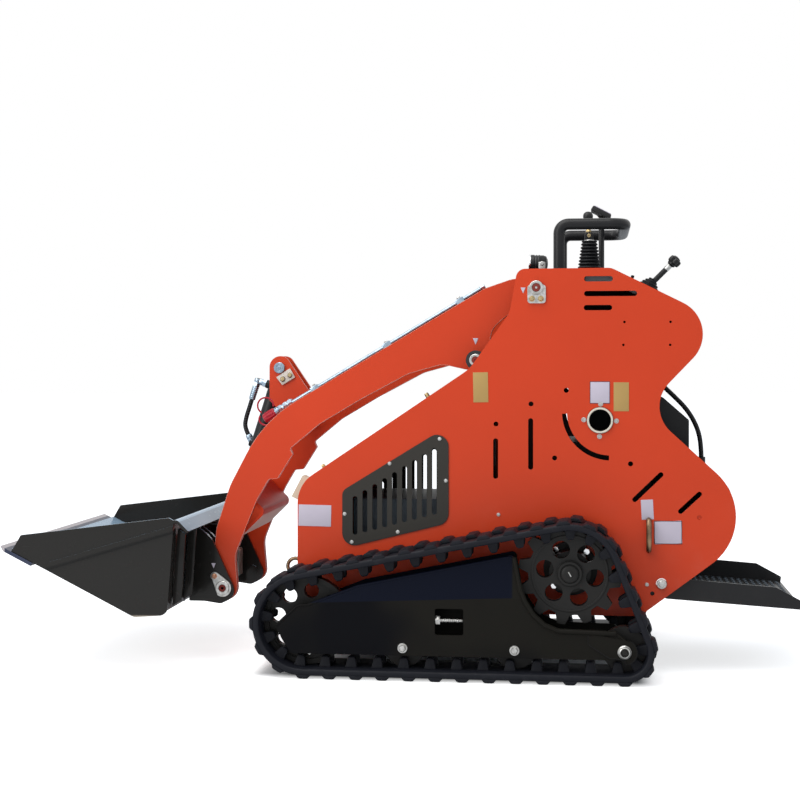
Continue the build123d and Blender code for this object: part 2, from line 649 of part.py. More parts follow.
def control_levers():
    """Two drive levers in ribbed boots, and a sloping instrument pod between them."""
    pieces = []
    for y in (-LEVER_Y, LEVER_Y):
        top = (LEVER_X - STICK_LEAN, y, BALL_Z)
        stick = bar((LEVER_X, y, DECK_TOP + BOOT_HEIGHT - BOOT_FOLD), top, STICK_R)
        ball = Solid.make_sphere(BALL_R, Plane(top), angle1=-90, angle2=90)
        pieces.append(fused(lever_boot(y), stick, ball))
    tilt = math.radians(POD_TILT)
    place = Plane(
        origin=(POD_CORNER[0], -POD_WIDTH / 2, POD_CORNER[1]),
        x_dir=(math.cos(tilt), 0, -math.sin(tilt)), z_dir=(math.sin(tilt), 0, math.cos(tilt)))
    pod = Solid.make_box(POD_LENGTH, POD_WIDTH, POD_WALL, place)
    under = POD_CORNER[1] - (COLUMN_X - POD_CORNER[0]) * math.tan(tilt)
    column = bar((COLUMN_X, 0, DECK_TOP), (COLUMN_X, 0, under + POD_WALL / 2), COLUMN_R)
    pieces.append(fused(column, pod))
    return pieces


BOOM_Y = -60.0
BOOM_SHARE = 0.34                        # share of the rear slope where its boot stands
BOOM_FOOT_R, BOOM_NECK_R, BOOM_HEIGHT = 34.0, 18.0, 36.0
BOOM_ROD_R, BOOM_KNOB_R = 8.0, 16.0
BOOM_KNOB = (242.0, 1172.0)


def boom_lever():
    """Boom and bucket lever: a boot on the sloping deck, an inclined rod and a knob."""
    crown, bulge = INNER["crown_rear"], INNER["upper_bulge"]
    foot = between(crown, bulge, BOOM_SHARE)
    slope = (Vector(*bulge[:2]) - Vector(*crown[:2])).normalized()
    normal = Vector(-slope.Y, 0, slope.X)
    root = Vector(foot[0], BOOM_Y, foot[1])
    boot = Solid.make_cone(BOOM_FOOT_R, BOOM_NECK_R, BOOM_HEIGHT, Plane(origin=root, z_dir=normal))
    knob_at = Vector(BOOM_KNOB[0], BOOM_Y, BOOM_KNOB[1])
    rod = bar(root + normal * (BOOM_HEIGHT / 2), knob_at, BOOM_ROD_R)
    knob = Solid.make_sphere(BOOM_KNOB_R, Plane(knob_at), angle1=-90, angle2=90)
    return fused(boot, rod, knob)


LAMP_X, LAMP_Z, LAMP_R = (-190.0, -135.0), 1172.0, 26.0
LAMP_FOOT_X, LAMP_FOOT_HALF = -175.0, 20.0
LAMP_STEM_X, LAMP_STEM_HALF = (-160.0, -150.0), 10.0


def work_lamp():
    """Round lamp facing forwards on a bracket from the deck's front edge."""
    shell = bar((LAMP_X[0], 0, LAMP_Z), (LAMP_X[1], 0, LAMP_Z), LAMP_R)
    top = DECK_TOP + 1
    foot = block(LAMP_FOOT_X, DECK_FRONT - GAP, -LAMP_FOOT_HALF, LAMP_FOOT_HALF, DECK_TOP - PANEL, top)
    stem = block(*LAMP_STEM_X, -LAMP_STEM_HALF, LAMP_STEM_HALF, top, LAMP_Z)
    return fused(shell, stem, foot)


PIN_HEAD = 8.0           # how far a pivot pin stands out of its side plate
KEEPER_WALL = 5.0
ARM_KEEPER = [(-183.0, 1040.0, 9), (-183.0, 1093.0, 9), (-131.0, 1093.0, 9), (-131.0, 1040.0, 9)]
PIN_SPARE = 22.0         # how far the arm's pin passes the arm's inner face


def arm_pins():
    """Arm pivot pins with their keeper plates on the side plates."""
    pin = disc(ARM_PIVOT, PIVOT_R, -BODY_OUT - PIN_HEAD, -ARM_IN + PIN_SPARE)
    keeper = slab(ARM_KEEPER, -BODY_OUT - KEEPER_WALL, -BODY_OUT)
    return both(fused(pin, keeper))


ANCHOR_OFF, ANCHOR_WALL = 30.0, 10.0     # the anchor plate's distance from the cylinder's middle
ANCHOR_FOOT, ANCHOR_TOP = 60.0, 28.0     # its half widths at the floor and round the pin


def lift_anchors():
    """Base pins of the lift cylinders on plates from the belly."""
    x, z = LIFT_BASE
    rows = [
        (x - ANCHOR_FOOT, FLOOR_Z, 0), (x - ANCHOR_TOP, z + ANCHOR_TOP, 20),
        (x + ANCHOR_TOP, z + ANCHOR_TOP, 20), (x + ANCHOR_FOOT, FLOOR_Z, 0),
    ]
    plate = slab(rows, -LIFT_Y + ANCHOR_OFF, -LIFT_Y + ANCHOR_OFF + ANCHOR_WALL)
    pin = disc(LIFT_BASE, PIN_R, -BODY_IN, -LIFT_Y + ANCHOR_OFF + ANCHOR_WALL / 2)
    return both(fused(plate, pin))


PLATFORM_HEAD, PLATFORM_HEAD_WALL, PLATFORM_PIN_SPARE = 3.0, 10.0, 14.0


def platform_pins():
    pin = disc(PLATFORM_PIVOT, PIN_R, -BODY_OUT - PIN_HEAD, -PLATFORM_OUT + PLATFORM_PIN_SPARE)
    head = disc(PLATFORM_PIVOT, PIN_R + PLATFORM_HEAD, -BODY_OUT - PLATFORM_HEAD_WALL, -BODY_OUT)
    return both(fused(pin, head))


RING_R, RING_WIRE = 23.0, 5.5
RING_Y, RING_Z, RING_REACH = BODY_IN - 127.0, 262.0, 32.0
RING_LUG_HALF, RING_LUG_RISE = 6.0, 17.0


def front_rings():
    """Tie-down rings on lugs of the nose sheet."""
    pieces = []
    x = BODY["nose_top"][0] - RING_REACH
    nose = INNER["nose_foot"][0]
    for y in (-RING_Y, RING_Y):
        ring = Solid.make_torus(RING_R, RING_WIRE, Plane(origin=(x, y, RING_Z), z_dir=(0, 1, 0)))
        lug = block(
            x + RING_R, nose, y - RING_LUG_HALF, y + RING_LUG_HALF,
            RING_Z - RING_LUG_RISE, RING_Z + RING_LUG_RISE)
        pieces.append(fused(ring, lug))
    return pieces


LASHING_X, LASHING_FOOT, LASHING_TOP = 159.0, 340.0, 426.0
LASHING_REACH, LASHING_R = 22.0, 5.0


def lashing_bars():
    """Bent bars on the side plates for a strap's hook."""
    pieces = []
    for side in (-1, 1):
        wall, out = side * BODY_OUT, side * (BODY_OUT + LASHING_REACH)
        path = FilletPolyline(
            (LASHING_X, wall, LASHING_FOOT), (LASHING_X, out, LASHING_FOOT),
            (LASHING_X, out, LASHING_TOP), (LASHING_X, wall, LASHING_TOP), radius=12)
        section = Plane(origin=(LASHING_X, wall, LASHING_FOOT), z_dir=(0, side, 0)) * Circle(LASHING_R)
        pieces.append(sweep(section, path=path).solids()[0])
    return pieces


PAD_FACE = [(-880.0, 476.0, 4), (-846.0, 540.0, 4), (-812.0, 521.0, 0), (-843.0, 460.0, 0)]
PAD_MARGIN = 8.0         # the pad is wider than the arm by this on each side


def stop_blocks():
    """Blocks on the slope that the arms come down on."""
    pad = slab(PAD_FACE, -ARM_OUT - PAD_MARGIN, -ARM_IN + PAD_MARGIN)
    hull = slab(list(INNER.values()), -ARM_OUT - 2 * PAD_MARGIN, -ARM_IN + 2 * PAD_MARGIN)
    return both(pad - hull)


BOX_HALF = 140.0
BOX_SIDE = [(170.0, 772.0, 0), (205.0, 770.0, 8), (280.0, 704.0, 8), (280.0, 614.0, 8), (170.0, 614.0, 0)]


def rear_box():
    """Valve box standing out of the rear notch."""
    box = slab(BOX_SIDE, -BOX_HALF, BOX_HALF)
    hull = slab(list(INNER.values()), -BOX_HALF - 1, BOX_HALF + 1)
    return box - hull


CABLE_R = 7.0
GLAND_R = 12.0
CABLE_Y = -42.0
CABLE_START_SHARE = 0.722        # share of the way from the upper bulge to the notch
CABLE_FOOT, CABLE_FOOT_Y = (321.0, 592.0), -52.0
GLAND_FOOT_Z, GLAND_HEIGHT = 566.0, 10.0


def cable_start():
    """Where the cable leaves its gland on the upper rear panel, and the way out."""
    bulge, notch = INNER["upper_bulge"], INNER["notch"]
    x, z = between(bulge, notch, CABLE_START_SHARE)
    slope = (Vector(*notch[:2]) - Vector(*bulge[:2])).normalized()
    return Vector(x, CABLE_Y, z), Vector(-slope.Y, 0, slope.X)


def cable_route():
    root, out = cable_start()
    start = root + out * (GLAND_HEIGHT + GAP)
    return [
        start, start + out * 34, Vector(277, -46, 736), Vector(305, -50, 690), Vector(320, -52, 640),
        Vector(CABLE_FOOT[0], CABLE_FOOT_Y, CABLE_FOOT[1] + GAP),
    ]


def cord(corners, radius):
    """Plain round cord through hand-set corners, bent as gently as their spacing allows."""
    turns = []
    for before, here, after in zip(corners, corners[1:], corners[2:]):
        turn = math.radians((here - before).get_angle(after - here))
        shorter = min((here - before).length, (after - here).length)
        turns.append(0.45 * shorter / math.tan(turn / 2))
    print("bend radii", [round(value) for value in turns])
    path = FilletPolyline(*corners, radius=turns)
    section = Plane(origin=corners[0], z_dir=corners[1] - corners[0]) * Circle(radius)
    return sweep(section, path=path).solids()[0]


# Lift arms, corners as x, z, radius, clockwise from the pivot
BOSS_R = 40.0
PIVOT_BOSS_R, PIVOT_BOSS_REACH = 35.0, 20.0
ARM = [
    (-158.0, 1125.0, 0), (-236.0, 1112.0, 60), (-312.0, 1086.0, 60), (-964.0, 701.0, 400),
    (-1066.0, 508.0, 150), (-1108.0, 378.0, 120), (-1124.0, 205.0, 0), (-1084.0, 165.0, 0), (-1044.0, 205.0, 0),
    (-1052.0, 300.0, 80), (-985.0, 466.0, 150), (-950.0, 526.0, 12), (-923.0, 528.0, 8),
    (-878.0, 600.0, 5), (-886.0, 617.0, 8), (-798.0, 690.0, 80), (-677.0, 762.0, 200),
    (-533.0, 839.0, 100), (-434.0, 866.0, 60), (-345.0, 846.0, 40), (-296.0, 900.0, 30), (-292.0, 968.0, 60),
    (-232.0, 1019.0, 40), (-158.0, 1045.0, 0),
]


def arm_plate():
    near, far = -ARM_OUT, -ARM_IN
    plate = slab(ARM, near, far)
    rear = disc(ARM_PIVOT, BOSS_R, near, far)
    boss = disc(ARM_PIVOT, PIVOT_BOSS_R, -BODY_IN + SWING, -ARM_IN + PIVOT_BOSS_REACH)
    tip = disc(COUPLER_PIN, BOSS_R, near, far)
    plate = fused(plate, rear, boss, tip)
    cuts = [
        disc(ARM_PIVOT, PIVOT_R + RUN, -BODY_OUT, -ARM_IN + PIVOT_BOSS_REACH + 1),
        disc(COUPLER_PIN, PIN_R + RUN, near - 1, far + 1),
    ]
    return plate.cut(*cuts)


KNEE_TUBE, KNEE_TUBE_R = (-897.0, 694.0), 28.0
UPPER_TUBE, UPPER_TUBE_R = (-430.0, 938.0), 32.0
SHIN_PLATE = [(-1040.0, 364.0, 0), (-975.0, 428.0, 10), (-1038.0, 490.0, 0)]
SHIN_WALL = 10.0


def arm_cross_tubes():
    """Torque tubes at the knee and near the pivot, and the bent plate between the shins."""
    knee = disc(KNEE_TUBE, KNEE_TUBE_R, -ARM_IN, ARM_IN)
    upper = disc(UPPER_TUBE, UPPER_TUBE_R, -ARM_IN, ARM_IN)
    shin = sheet(SHIN_PLATE, -SHIN_WALL, -ARM_IN, ARM_IN)
    return [knee, upper, shin]


BRACKET_OUT, BRACKET_WALL = 40.0, 12.0
BRACKET = [
    (-984.0, 755.0, 0), (-984.0, 891.0, 34), (-934.0, 891.0, 28), (-835.0, 745.0, 0),
    (-872.0, 700.0, 0), (-928.0, 700.0, 0),
]
TILT_KEEPER = [(-962.0, 826.0, 5), (-919.0, 854.0, 5), (-903.0, 826.0, 5), (-943.0, 802.0, 5)]


def tilt_bracket():
    """Two lugs on the knee tube with the tilt cylinder's pin and its keeper plate."""
    plates = []
    cut = disc(KNEE_TUBE, KNEE_TUBE_R + GAP, -BRACKET_OUT - 1, BRACKET_OUT + 1)
    for side in (-1, 1):
        y0, y1 = sorted((side * BRACKET_OUT, side * (BRACKET_OUT - BRACKET_WALL)))
        plates.append(slab(BRACKET, y0, y1) - cut)
    pin = disc(TILT_TOP, PIN_R, -BRACKET_OUT - PIN_HEAD, BRACKET_OUT + PIN_HEAD)
    keeper = slab(TILT_KEEPER, -BRACKET_OUT - KEEPER_WALL, -BRACKET_OUT)
    return fused(plates[0], plates[1], pin, keeper)


LINE_R = 6.0
LINE_YS = (-ARM_IN + 12.0, -ARM_IN + 30.0)
LINE_FRONT, LINE_REAR = (-884.0, 753.0), (-316.0, 1092.0)
LINE_COUPLER, LINE_COUPLER_R = 62.0, 13.0
LINE_CAP, LINE_CAP_R = (-40.0, -24.0), 16.0
CLAMP_SHARES = (0.12, 0.5, 0.88)
CLAMP_LENGTH, CLAMP_HEIGHT, CLAMP_WIDTH = 26.0, 46.0, 42.0


def hydraulic_lines():
    """Two steel lines along the left arm with clamps, ending in quick couplers."""
    pieces = []
    front, rear = Vector(LINE_FRONT[0], 0, LINE_FRONT[1]), Vector(LINE_REAR[0], 0, LINE_REAR[1])
    run = (rear - front).normalized()
    for y in LINE_YS:
        aside = Vector(0, y, 0)
        line = bar(front + aside, rear + aside, LINE_R)
        tip = front + aside - run * LINE_COUPLER
        coupler = bar(front + aside, tip, LINE_COUPLER_R)
        cap = bar(tip, tip + Vector(LINE_CAP[0], 0, LINE_CAP[1]), LINE_CAP_R)
        pieces.append(fused(line, coupler, cap))
    for share in CLAMP_SHARES:
        at = front + (rear - front) * share
        place = Plane(origin=(at.X, -ARM_IN, at.Z), x_dir=run, z_dir=(0, 1, 0))
        clamp = place * Box(
            CLAMP_LENGTH, CLAMP_HEIGHT, CLAMP_WIDTH, align=(Align.CENTER, Align.CENTER, Align.MIN))
        pieces.append(clamp.solids()[0])
    return fused(*pieces)


def direction(start, end):
    return Vector(end[0] - start[0], 0, end[1] - start[1]).normalized()


def cylinder_barrel(base, eye, y, radius, rod_r, first, bore_from, end, eye_r, eye_half, pin_r):
    """Barrel with its base eye and the bore that the rod slides in."""
    axis = direction(base, eye)
    origin = Vector(base[0], y, base[1])
    tube = bar(origin + axis * first, origin + axis * end, radius)
    gland = bar(origin + axis * (end - 30), origin + axis * end, radius + 2)
    lug = disc(base, eye_r, y - eye_half, y + eye_half)
    bore = bar(origin + axis * bore_from, origin + axis * (end + 1), rod_r + 2 * RUN)
    reach = max(eye_half, radius) + 1
    hole = disc(base, pin_r + RUN, y - reach, y + reach)
    return fused(tube, gland, lug).cut(bore, hole)


def cylinder_rod(base, eye, y, rod_r, inner_end, eye_r, eye_half, pin_r, pin_out):
    axis = direction(base, eye)
    origin = Vector(base[0], y, base[1])
    far = Vector(eye[0], y, eye[1])
    rod = bar(origin + axis * inner_end, far, rod_r)
    lug = disc(eye, eye_r, y - eye_half, y + eye_half)
    pin = disc(eye, pin_r, y - pin_out, y + pin_out)
    return fused(rod, lug, pin)


LIFT_R, LIFT_ROD_R, LIFT_EYE_R = 25.0, 14.0, 28.0
LIFT_EYE_HALF = 22.0
LIFT_END, LIFT_BORE, LIFT_ROD_END = 500.0, 95.0, 125.0       # places along it from its base pin
TILT_R, TILT_ROD_R, TILT_EYE_R = 24.0, 12.0, 25.0
TILT_HALF = 18.0
TILT_END, TILT_BORE, TILT_ROD_END = 350.0, 140.0, 160.0
TUBE_START = 10.0

# Hose beside the tilt cylinder: an elbow and a ferrule above, a fitting below
PORT_PLACE, PORT_REACH, PORT_R = 62.0, 62.0, 9.0
FERRULE_LENGTH, FERRULE_R = 60.0, 9.0
FITTING_PLACE, FITTING_LENGTH, FITTING_R = 250.0, 28.0, 9.0
HOSE_R = 7.0


def tilt_axes():
    """The tilt cylinder's top pin, the way along it and the way out to its front."""
    axis = direction(TILT_TOP, TILT_EYE)
    return Vector(TILT_TOP[0], 0, TILT_TOP[1]), axis, Vector(axis.Z, 0, -axis.X)


def hose_ends():
    """Corner of the elbow, end of the ferrule, root and end of the lower fitting."""
    top, axis, out = tilt_axes()
    corner = top + axis * PORT_PLACE + out * PORT_REACH
    ferrule = corner + axis * FERRULE_LENGTH
    root = top + axis * FITTING_PLACE + out * (TILT_R - FITTING_R / 2)
    return corner, ferrule, root, root + (out - axis).normalized() * FITTING_LENGTH


def tilt_barrel():
    """The tilt cylinder's barrel with its upper port's elbow and its lower port's fitting."""
    top, axis, out = tilt_axes()
    barrel = cylinder_barrel(
        TILT_TOP, TILT_EYE, 0, TILT_R, TILT_ROD_R, TUBE_START, TILT_BORE, TILT_END, TILT_EYE_R,
        TILT_HALF + 2, PIN_R)
    corner, ferrule, root, fitting = hose_ends()
    port = bar(top + axis * PORT_PLACE + out * (TILT_R - PORT_R), corner, PORT_R)
    elbow = Solid.make_sphere(PORT_R, Plane(corner), angle1=-90, angle2=90)
    return fused(barrel, port, elbow, bar(corner, ferrule, FERRULE_R), bar(root, fitting, FITTING_R))


def hose_route():
    corner, ferrule, root, fitting = hose_ends()
    start = ferrule + (ferrule - corner).normalized() * GAP
    away = (fitting - root).normalized()
    end = fitting + away * GAP
    return [start, start + (ferrule - corner).normalized() * 28, Vector(-1067, 0, 698), end + away * 25, end]


# Quick coupler and bucket
EAR_WALL = 12.0
EAR_OUT = ARM_OUT + SWING + EAR_WALL     # the outer ears' outer faces
EAR_IN = ARM_IN - SWING - EAR_WALL       # the inner ears' inner faces
BUCKET_WALL = 8.0
SIDE_WALL = 6.0
BUCKET_BACK = [(-1283.0, 153.0, 50), (-1187.0, 160.0, 40), (-1170.0, 430.0, 8), (-1131.0, 391.0, 0)]
BUCKET_SIDE = [
    (-1641.0, 333.0, 0), (-1635.0, 344.0, 0), (-1614.0, 380.0, 6), (-1181.0, 434.0, 6), (-1167.0, 426.0, 4),
    (-1187.0, 160.0, 25), (-1283.0, 153.0, 30),
]
EDGE_WALL, EDGE_BEVEL = 10.0, 14.0
COUPLER_WALL = 8.0
COUPLER_FOOT, COUPLER_TOP = 165.0, 388.0


def coupler_face(z):
    """X of the coupler plate's rear face at a height, laid along the bucket's back."""
    low, high = BUCKET_BACK[1], BUCKET_BACK[2]
    slope = (high[0] - low[0]) / (high[1] - low[1])
    return low[0] + (z - low[1]) * slope + (COUPLER_WALL + GAP) * math.hypot(1, slope)


EAR_EDGE = [
    (-1131.0, 362.0, 15), (-1116.0, 346.0, 15), (-1040.0, 182.0, 34), (-1090.0, 158.0, 20), (-1139.0, 165.0, 10),
]
LUG_IN = TILT_HALF + SWING               # the tilt lugs' inner faces
LUG_FOOT, LUG_TOP = 300.0, 372.0
LUG_EDGE = [(-1128.0, LUG_TOP, 16), (-1086.0, 350.0, 20), (-1096.0, 314.0, 20), (-1140.0, LUG_FOOT, 0)]
EYE_BOSS_R, EYE_BOSS_WALL = 18.0, 4.0
COUPLER_PIN_OUT, COUPLER_PIN_IN = 6.0, 4.0     # how far its pins pass the outer and the inner ears


def coupler():
    """Mounting plate with four ears round the arm tips and two lugs for the tilt rod."""
    foot, top = (coupler_face(COUPLER_FOOT), COUPLER_FOOT, 0), (coupler_face(COUPLER_TOP), COUPLER_TOP, 0)
    plate = sheet([foot, top], COUPLER_WALL, -EAR_OUT, EAR_OUT)
    ears = []
    for y0 in (-EAR_OUT, -EAR_IN - EAR_WALL, EAR_IN, EAR_OUT - EAR_WALL):
        ears.append(slab([top, *EAR_EDGE, foot], y0, y0 + EAR_WALL))
    lug = slab(
        [(coupler_face(LUG_FOOT), LUG_FOOT, 0), (coupler_face(LUG_TOP), LUG_TOP, 0), *LUG_EDGE],
        -LUG_IN - EAR_WALL, -LUG_IN)
    boss = disc(TILT_EYE, EYE_BOSS_R, -LUG_IN - EAR_WALL - EYE_BOSS_WALL, -LUG_IN - EAR_WALL)
    pin = disc(COUPLER_PIN, PIN_R, -EAR_OUT - COUPLER_PIN_OUT, -EAR_IN + COUPLER_PIN_IN)
    return fused(plate, *ears, *both(lug), *both(boss), *both(pin))


LATCH_X, LATCH_BACK = -1134.0, -1108.0
LATCH_FOOT, LATCH_TOP = 196.0, 282.0
LATCH_Y = (LUG_IN + EAR_WALL + EYE_BOSS_WALL + EAR_IN) / 2
LATCH_HALF = (EAR_IN - LUG_IN - EAR_WALL - EYE_BOSS_WALL) * 0.19
LATCH_PIN_R, LATCH_PIN_FOOT = 13.0, 160.0
LATCH_STEM_R, LATCH_STEM_TOP = 8.0, 336.0
LATCH_GRIP = (30.0, 22.0)                # the turned handle's reach back and up


def latches():
    """Latch housings with their pins and turned handles, behind the mounting plate."""
    seat = [(coupler_face(z) + GAP, z, 0) for z in (LATCH_FOOT, LATCH_TOP)]
    house = slab(
        seat + [(LATCH_BACK, LATCH_TOP, 6), (LATCH_BACK, LATCH_FOOT, 6)],
        -LATCH_Y - LATCH_HALF, -LATCH_Y + LATCH_HALF)
    pin = bar((LATCH_X, -LATCH_Y, LATCH_PIN_FOOT), (LATCH_X, -LATCH_Y, LATCH_FOOT), LATCH_PIN_R)
    stem = bar((LATCH_X, -LATCH_Y, LATCH_TOP), (LATCH_X, -LATCH_Y, LATCH_STEM_TOP), LATCH_STEM_R)
    turn = Vector(LATCH_X, -LATCH_Y, LATCH_STEM_TOP - LATCH_STEM_R / 2)
    grip = bar(turn, turn + Vector(LATCH_GRIP[0], 0, LATCH_GRIP[1]), LATCH_STEM_R)
    return both(fused(house, pin, stem, grip))


FLOOR_SHARE, EDGE_SHARE = 0.08, 0.24     # shares of the floor ahead of its sheet, and under the edge
RIB_WALL = 4.0
SIDE_RIB = [(-1538.0, 289.0, 0), (-1530.0, 305.0, 0), (-1169.0, 412.0, 0), (-1170.0, 392.0, 0)]


def bucket():
    """Floor rolled up into the back with its top flange, between two side plates with a rib."""
    floor_start = between(LIP, BUCKET_BACK[0], FLOOR_SHARE)
    side_out = BUCKET_OUT - RIB_WALL
    shell = sheet([(*floor_start, 0)] + BUCKET_BACK, BUCKET_WALL, -side_out, side_out)
    side = slab(BUCKET_SIDE, -side_out, -side_out + SIDE_WALL)
    rib = slab(SIDE_RIB, -BUCKET_OUT, -side_out)
    return fused(shell, *both(side), *both(rib))


def cutting_edge():
    """Wear plate under the front of the floor, out to the bucket's full width, its end bevelled."""
    heel = between(LIP, BUCKET_BACK[0], EDGE_SHARE)
    under = offset_rows([(*LIP, 0), (*heel, 0)], -EDGE_WALL, closed=False)
    toe = along(under[0], under[1], EDGE_BEVEL)
    return slab([(*LIP, 0), (*heel, 0), under[1], (*toe, 0)], -BUCKET_OUT, BUCKET_OUT)


TRAY_SIDE = [
    (172.0, 246.0, 22), (203.0, 275.0, 22), (275.0, 257.0, 0), (514.0, 239.0, 10), (PLATFORM_END, 198.0, 4),
    (PLATFORM_END - 3.0, 177.0, 4), (203.0, 202.0, 20),
]
TRAY_WALL, TRAY_EAR_R = 6.0, 26.0
TRAY_FLOOR = [(225.0, 201.0, 0), (PLATFORM_END - 3.0, 178.0, 0)]
TRAY_FLOOR_WALL = 5.0


def platform():
    """Operator's platform: a floor between two upturned sides."""
    near, far = -PLATFORM_OUT, -PLATFORM_OUT + TRAY_WALL
    side = fused(slab(TRAY_SIDE, near, far), disc(PLATFORM_PIVOT, TRAY_EAR_R, near, far))
    side = side - disc(PLATFORM_PIVOT, PIN_R + RUN, near - 1, far + 1)
    floor = sheet(TRAY_FLOOR, TRAY_FLOOR_WALL, -PLATFORM_OUT, PLATFORM_OUT)
    return fused(floor, *both(side))


def solids(*shapes):
    """All the solids of some shapes in one list."""
    found = []
    for shape in shapes:
        found.extend(shape.solids())
    return found


def build():
    left_track, left_frame = track(), track_frame()
    lift_barrel = cylinder_barrel(
        LIFT_BASE, LIFT_EYE, -LIFT_Y, LIFT_R, LIFT_ROD_R, TUBE_START, LIFT_BORE, LIFT_END, LIFT_EYE_R,
        LIFT_EYE_HALF, PIN_R)
    lift_rod = cylinder_rod(
        LIFT_BASE, LIFT_EYE, -LIFT_Y, LIFT_ROD_R, LIFT_ROD_END, LIFT_EYE_R, LIFT_EYE_HALF, PIN_R,
        LIFT_EYE_HALF + 2)
    tilt_rod = cylinder_rod(
        TILT_TOP, TILT_EYE, 0, TILT_ROD_R, TILT_ROD_END, TILT_EYE_R, TILT_HALF, PIN_R, TILT_HALF)
    plate, arm = side_plate(), arm_plate()
    nodes = {
        "side_plate_left": [plate],
        "side_plate_right": [mirror(plate, about=Plane.XZ)],
        "grilles": both(grille()),
        "front_panel": [front_panel()],
        "hood_panel": [hood_panel()],
        "top_deck": [top_deck()],
        "bulkhead": [bulkhead()],
        "rear_panels": rear_panels(),
        "belly_pan": [belly_pan()],
        "engine_block": [engine_block()],
        "tank": [tank()],
        "exhaust": [exhaust()],
        "handle_hoop": [handle_hoop()],
        "control_levers": control_levers(),
        "boom_lever": [boom_lever()],
        "work_lamp": [work_lamp()],
        "arm_pins": arm_pins(),
        "lift_anchors": lift_anchors(),
        "platform_pins": platform_pins(),
        "front_rings": front_rings(),
        "lashing_bars": lashing_bars(),
        "stop_blocks": stop_blocks(),
        "rear_box": [rear_box()],
        "cross_tubes": cross_tubes(),
        "track_left": [left_track],
        "track_right": [mirror(left_track, about=Plane.XZ)],
        "track_frame_left": [left_frame],
        "track_frame_right": [mirror(left_frame, about=Plane.XZ)],
        "sprockets": both(sprocket()),
        "drive_motors": both(drive_motor()),
        "front_idlers": both(idler()),
        "rollers": [half for wheel in rollers() for half in both(wheel)],
        "arm_left": [arm],
        "arm_right": [mirror(arm, about=Plane.XZ)],
        "arm_cross_tubes": arm_cross_tubes(),
        "tilt_bracket": [tilt_bracket()],
        "hydraulic_lines": [hydraulic_lines()],
        "lift_barrel_left": [lift_barrel],
        "lift_barrel_right": [mirror(lift_barrel, about=Plane.XZ)],
        "lift_rod_left": [lift_rod],
        "lift_rod_right": [mirror(lift_rod, about=Plane.XZ)],
        "tilt_barrel": [tilt_barrel()],
        "tilt_hose": [cord(hose_route(), HOSE_R)],
        "tilt_rod": [tilt_rod],
        "coupler": [coupler()],
        "latches": latches(),
        "bucket": [bucket()],
        "cutting_edge": [cutting_edge()],
        "platform": [platform()],
        "rear_cable": [cord(cable_route(), CABLE_R)],
    }
    return nodes


def main():
    os.makedirs("parts", exist_ok=True)
    shift = Location((-(LIP[0] + PLATFORM_END) / 2, 0, -GROUND_Z))
    for name, shapes in build().items():
        pieces = [piece.moved(shift) for piece in solids(*shapes)]
        whole = pieces[0] if len(pieces) == 1 else Compound(children=pieces)
        export_step(whole, f"parts/{name}.step")


main()
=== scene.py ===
"""Looks of the mini skid steer loader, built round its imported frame.

Places are given as in the loader's drawing: millimetres, X = 0 under the control levers,
-X to the bucket, Z = -10 on the ground, -Y the left side. spot() turns them into metres.
"""
import math

import bmesh
import bpy
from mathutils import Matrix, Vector


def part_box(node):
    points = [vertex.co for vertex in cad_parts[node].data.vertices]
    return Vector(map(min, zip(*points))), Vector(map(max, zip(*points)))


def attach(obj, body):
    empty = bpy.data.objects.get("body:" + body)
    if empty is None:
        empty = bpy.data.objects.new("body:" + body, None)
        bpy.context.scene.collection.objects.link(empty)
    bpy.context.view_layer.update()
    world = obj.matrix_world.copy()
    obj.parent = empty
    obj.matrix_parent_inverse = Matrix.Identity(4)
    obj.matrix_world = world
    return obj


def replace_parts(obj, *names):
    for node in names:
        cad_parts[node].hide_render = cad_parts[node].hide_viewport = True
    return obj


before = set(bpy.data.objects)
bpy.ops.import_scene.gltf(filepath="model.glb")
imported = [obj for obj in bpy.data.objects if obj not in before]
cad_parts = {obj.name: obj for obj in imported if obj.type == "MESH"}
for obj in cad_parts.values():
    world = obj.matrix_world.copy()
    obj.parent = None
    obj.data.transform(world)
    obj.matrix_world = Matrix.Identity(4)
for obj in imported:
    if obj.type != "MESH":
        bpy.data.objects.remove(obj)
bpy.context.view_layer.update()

MM = 0.001


def middle(node):
    low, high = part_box(node)
    return (low + high) / 2


SPROCKET_X, SPROCKET_Z, SPROCKET_BELT_R = -61.0, 287.0, 125.0
SHIFT = middle("drive_motors") - Vector((SPROCKET_X, 0.0, SPROCKET_Z)) * MM

ALONG, LEFT, RIGHT, UP = (1, 0, 0), (0, -1, 0), (0, 1, 0), (0, 0, 1)
SIDES = ((-1, "left"), (1, "right"))
CORNERS = ((-1, -1), (1, -1), (1, 1), (-1, 1))


def spot(x, y, z):
    return Vector((x, y, z)) * MM + SHIFT


def both(x, out, z):
    """A place and its aim on both outer faces, out from the middle."""
    return [(spot(x, -out, z), LEFT), (spot(x, out, z), RIGHT)]


def loose_object(name, data):
    thing = bpy.data.objects.new(name, data)
    bpy.context.scene.collection.objects.link(thing)
    return thing


# Camera, from the photograph's perspective
CAMERA_BACK = 4750.0
CAMERA_HEIGHT = 866.9
CAMERA_TURN = math.radians(7.02)
FOCAL_LENGTH = 70.2
SENSOR_WIDTH = 36.0
FRAME_SHIFT = -0.045


def make_camera():
    data = bpy.data.cameras.new("camera")
    data.lens = FOCAL_LENGTH
    data.sensor_width = SENSOR_WIDTH
    data.shift_y = FRAME_SHIFT
    camera = loose_object("camera", data)
    camera.location = spot(0, -CAMERA_BACK, CAMERA_HEIGHT)
    camera.rotation_euler = (math.pi / 2, 0, CAMERA_TURN)
    bpy.context.scene.camera = camera


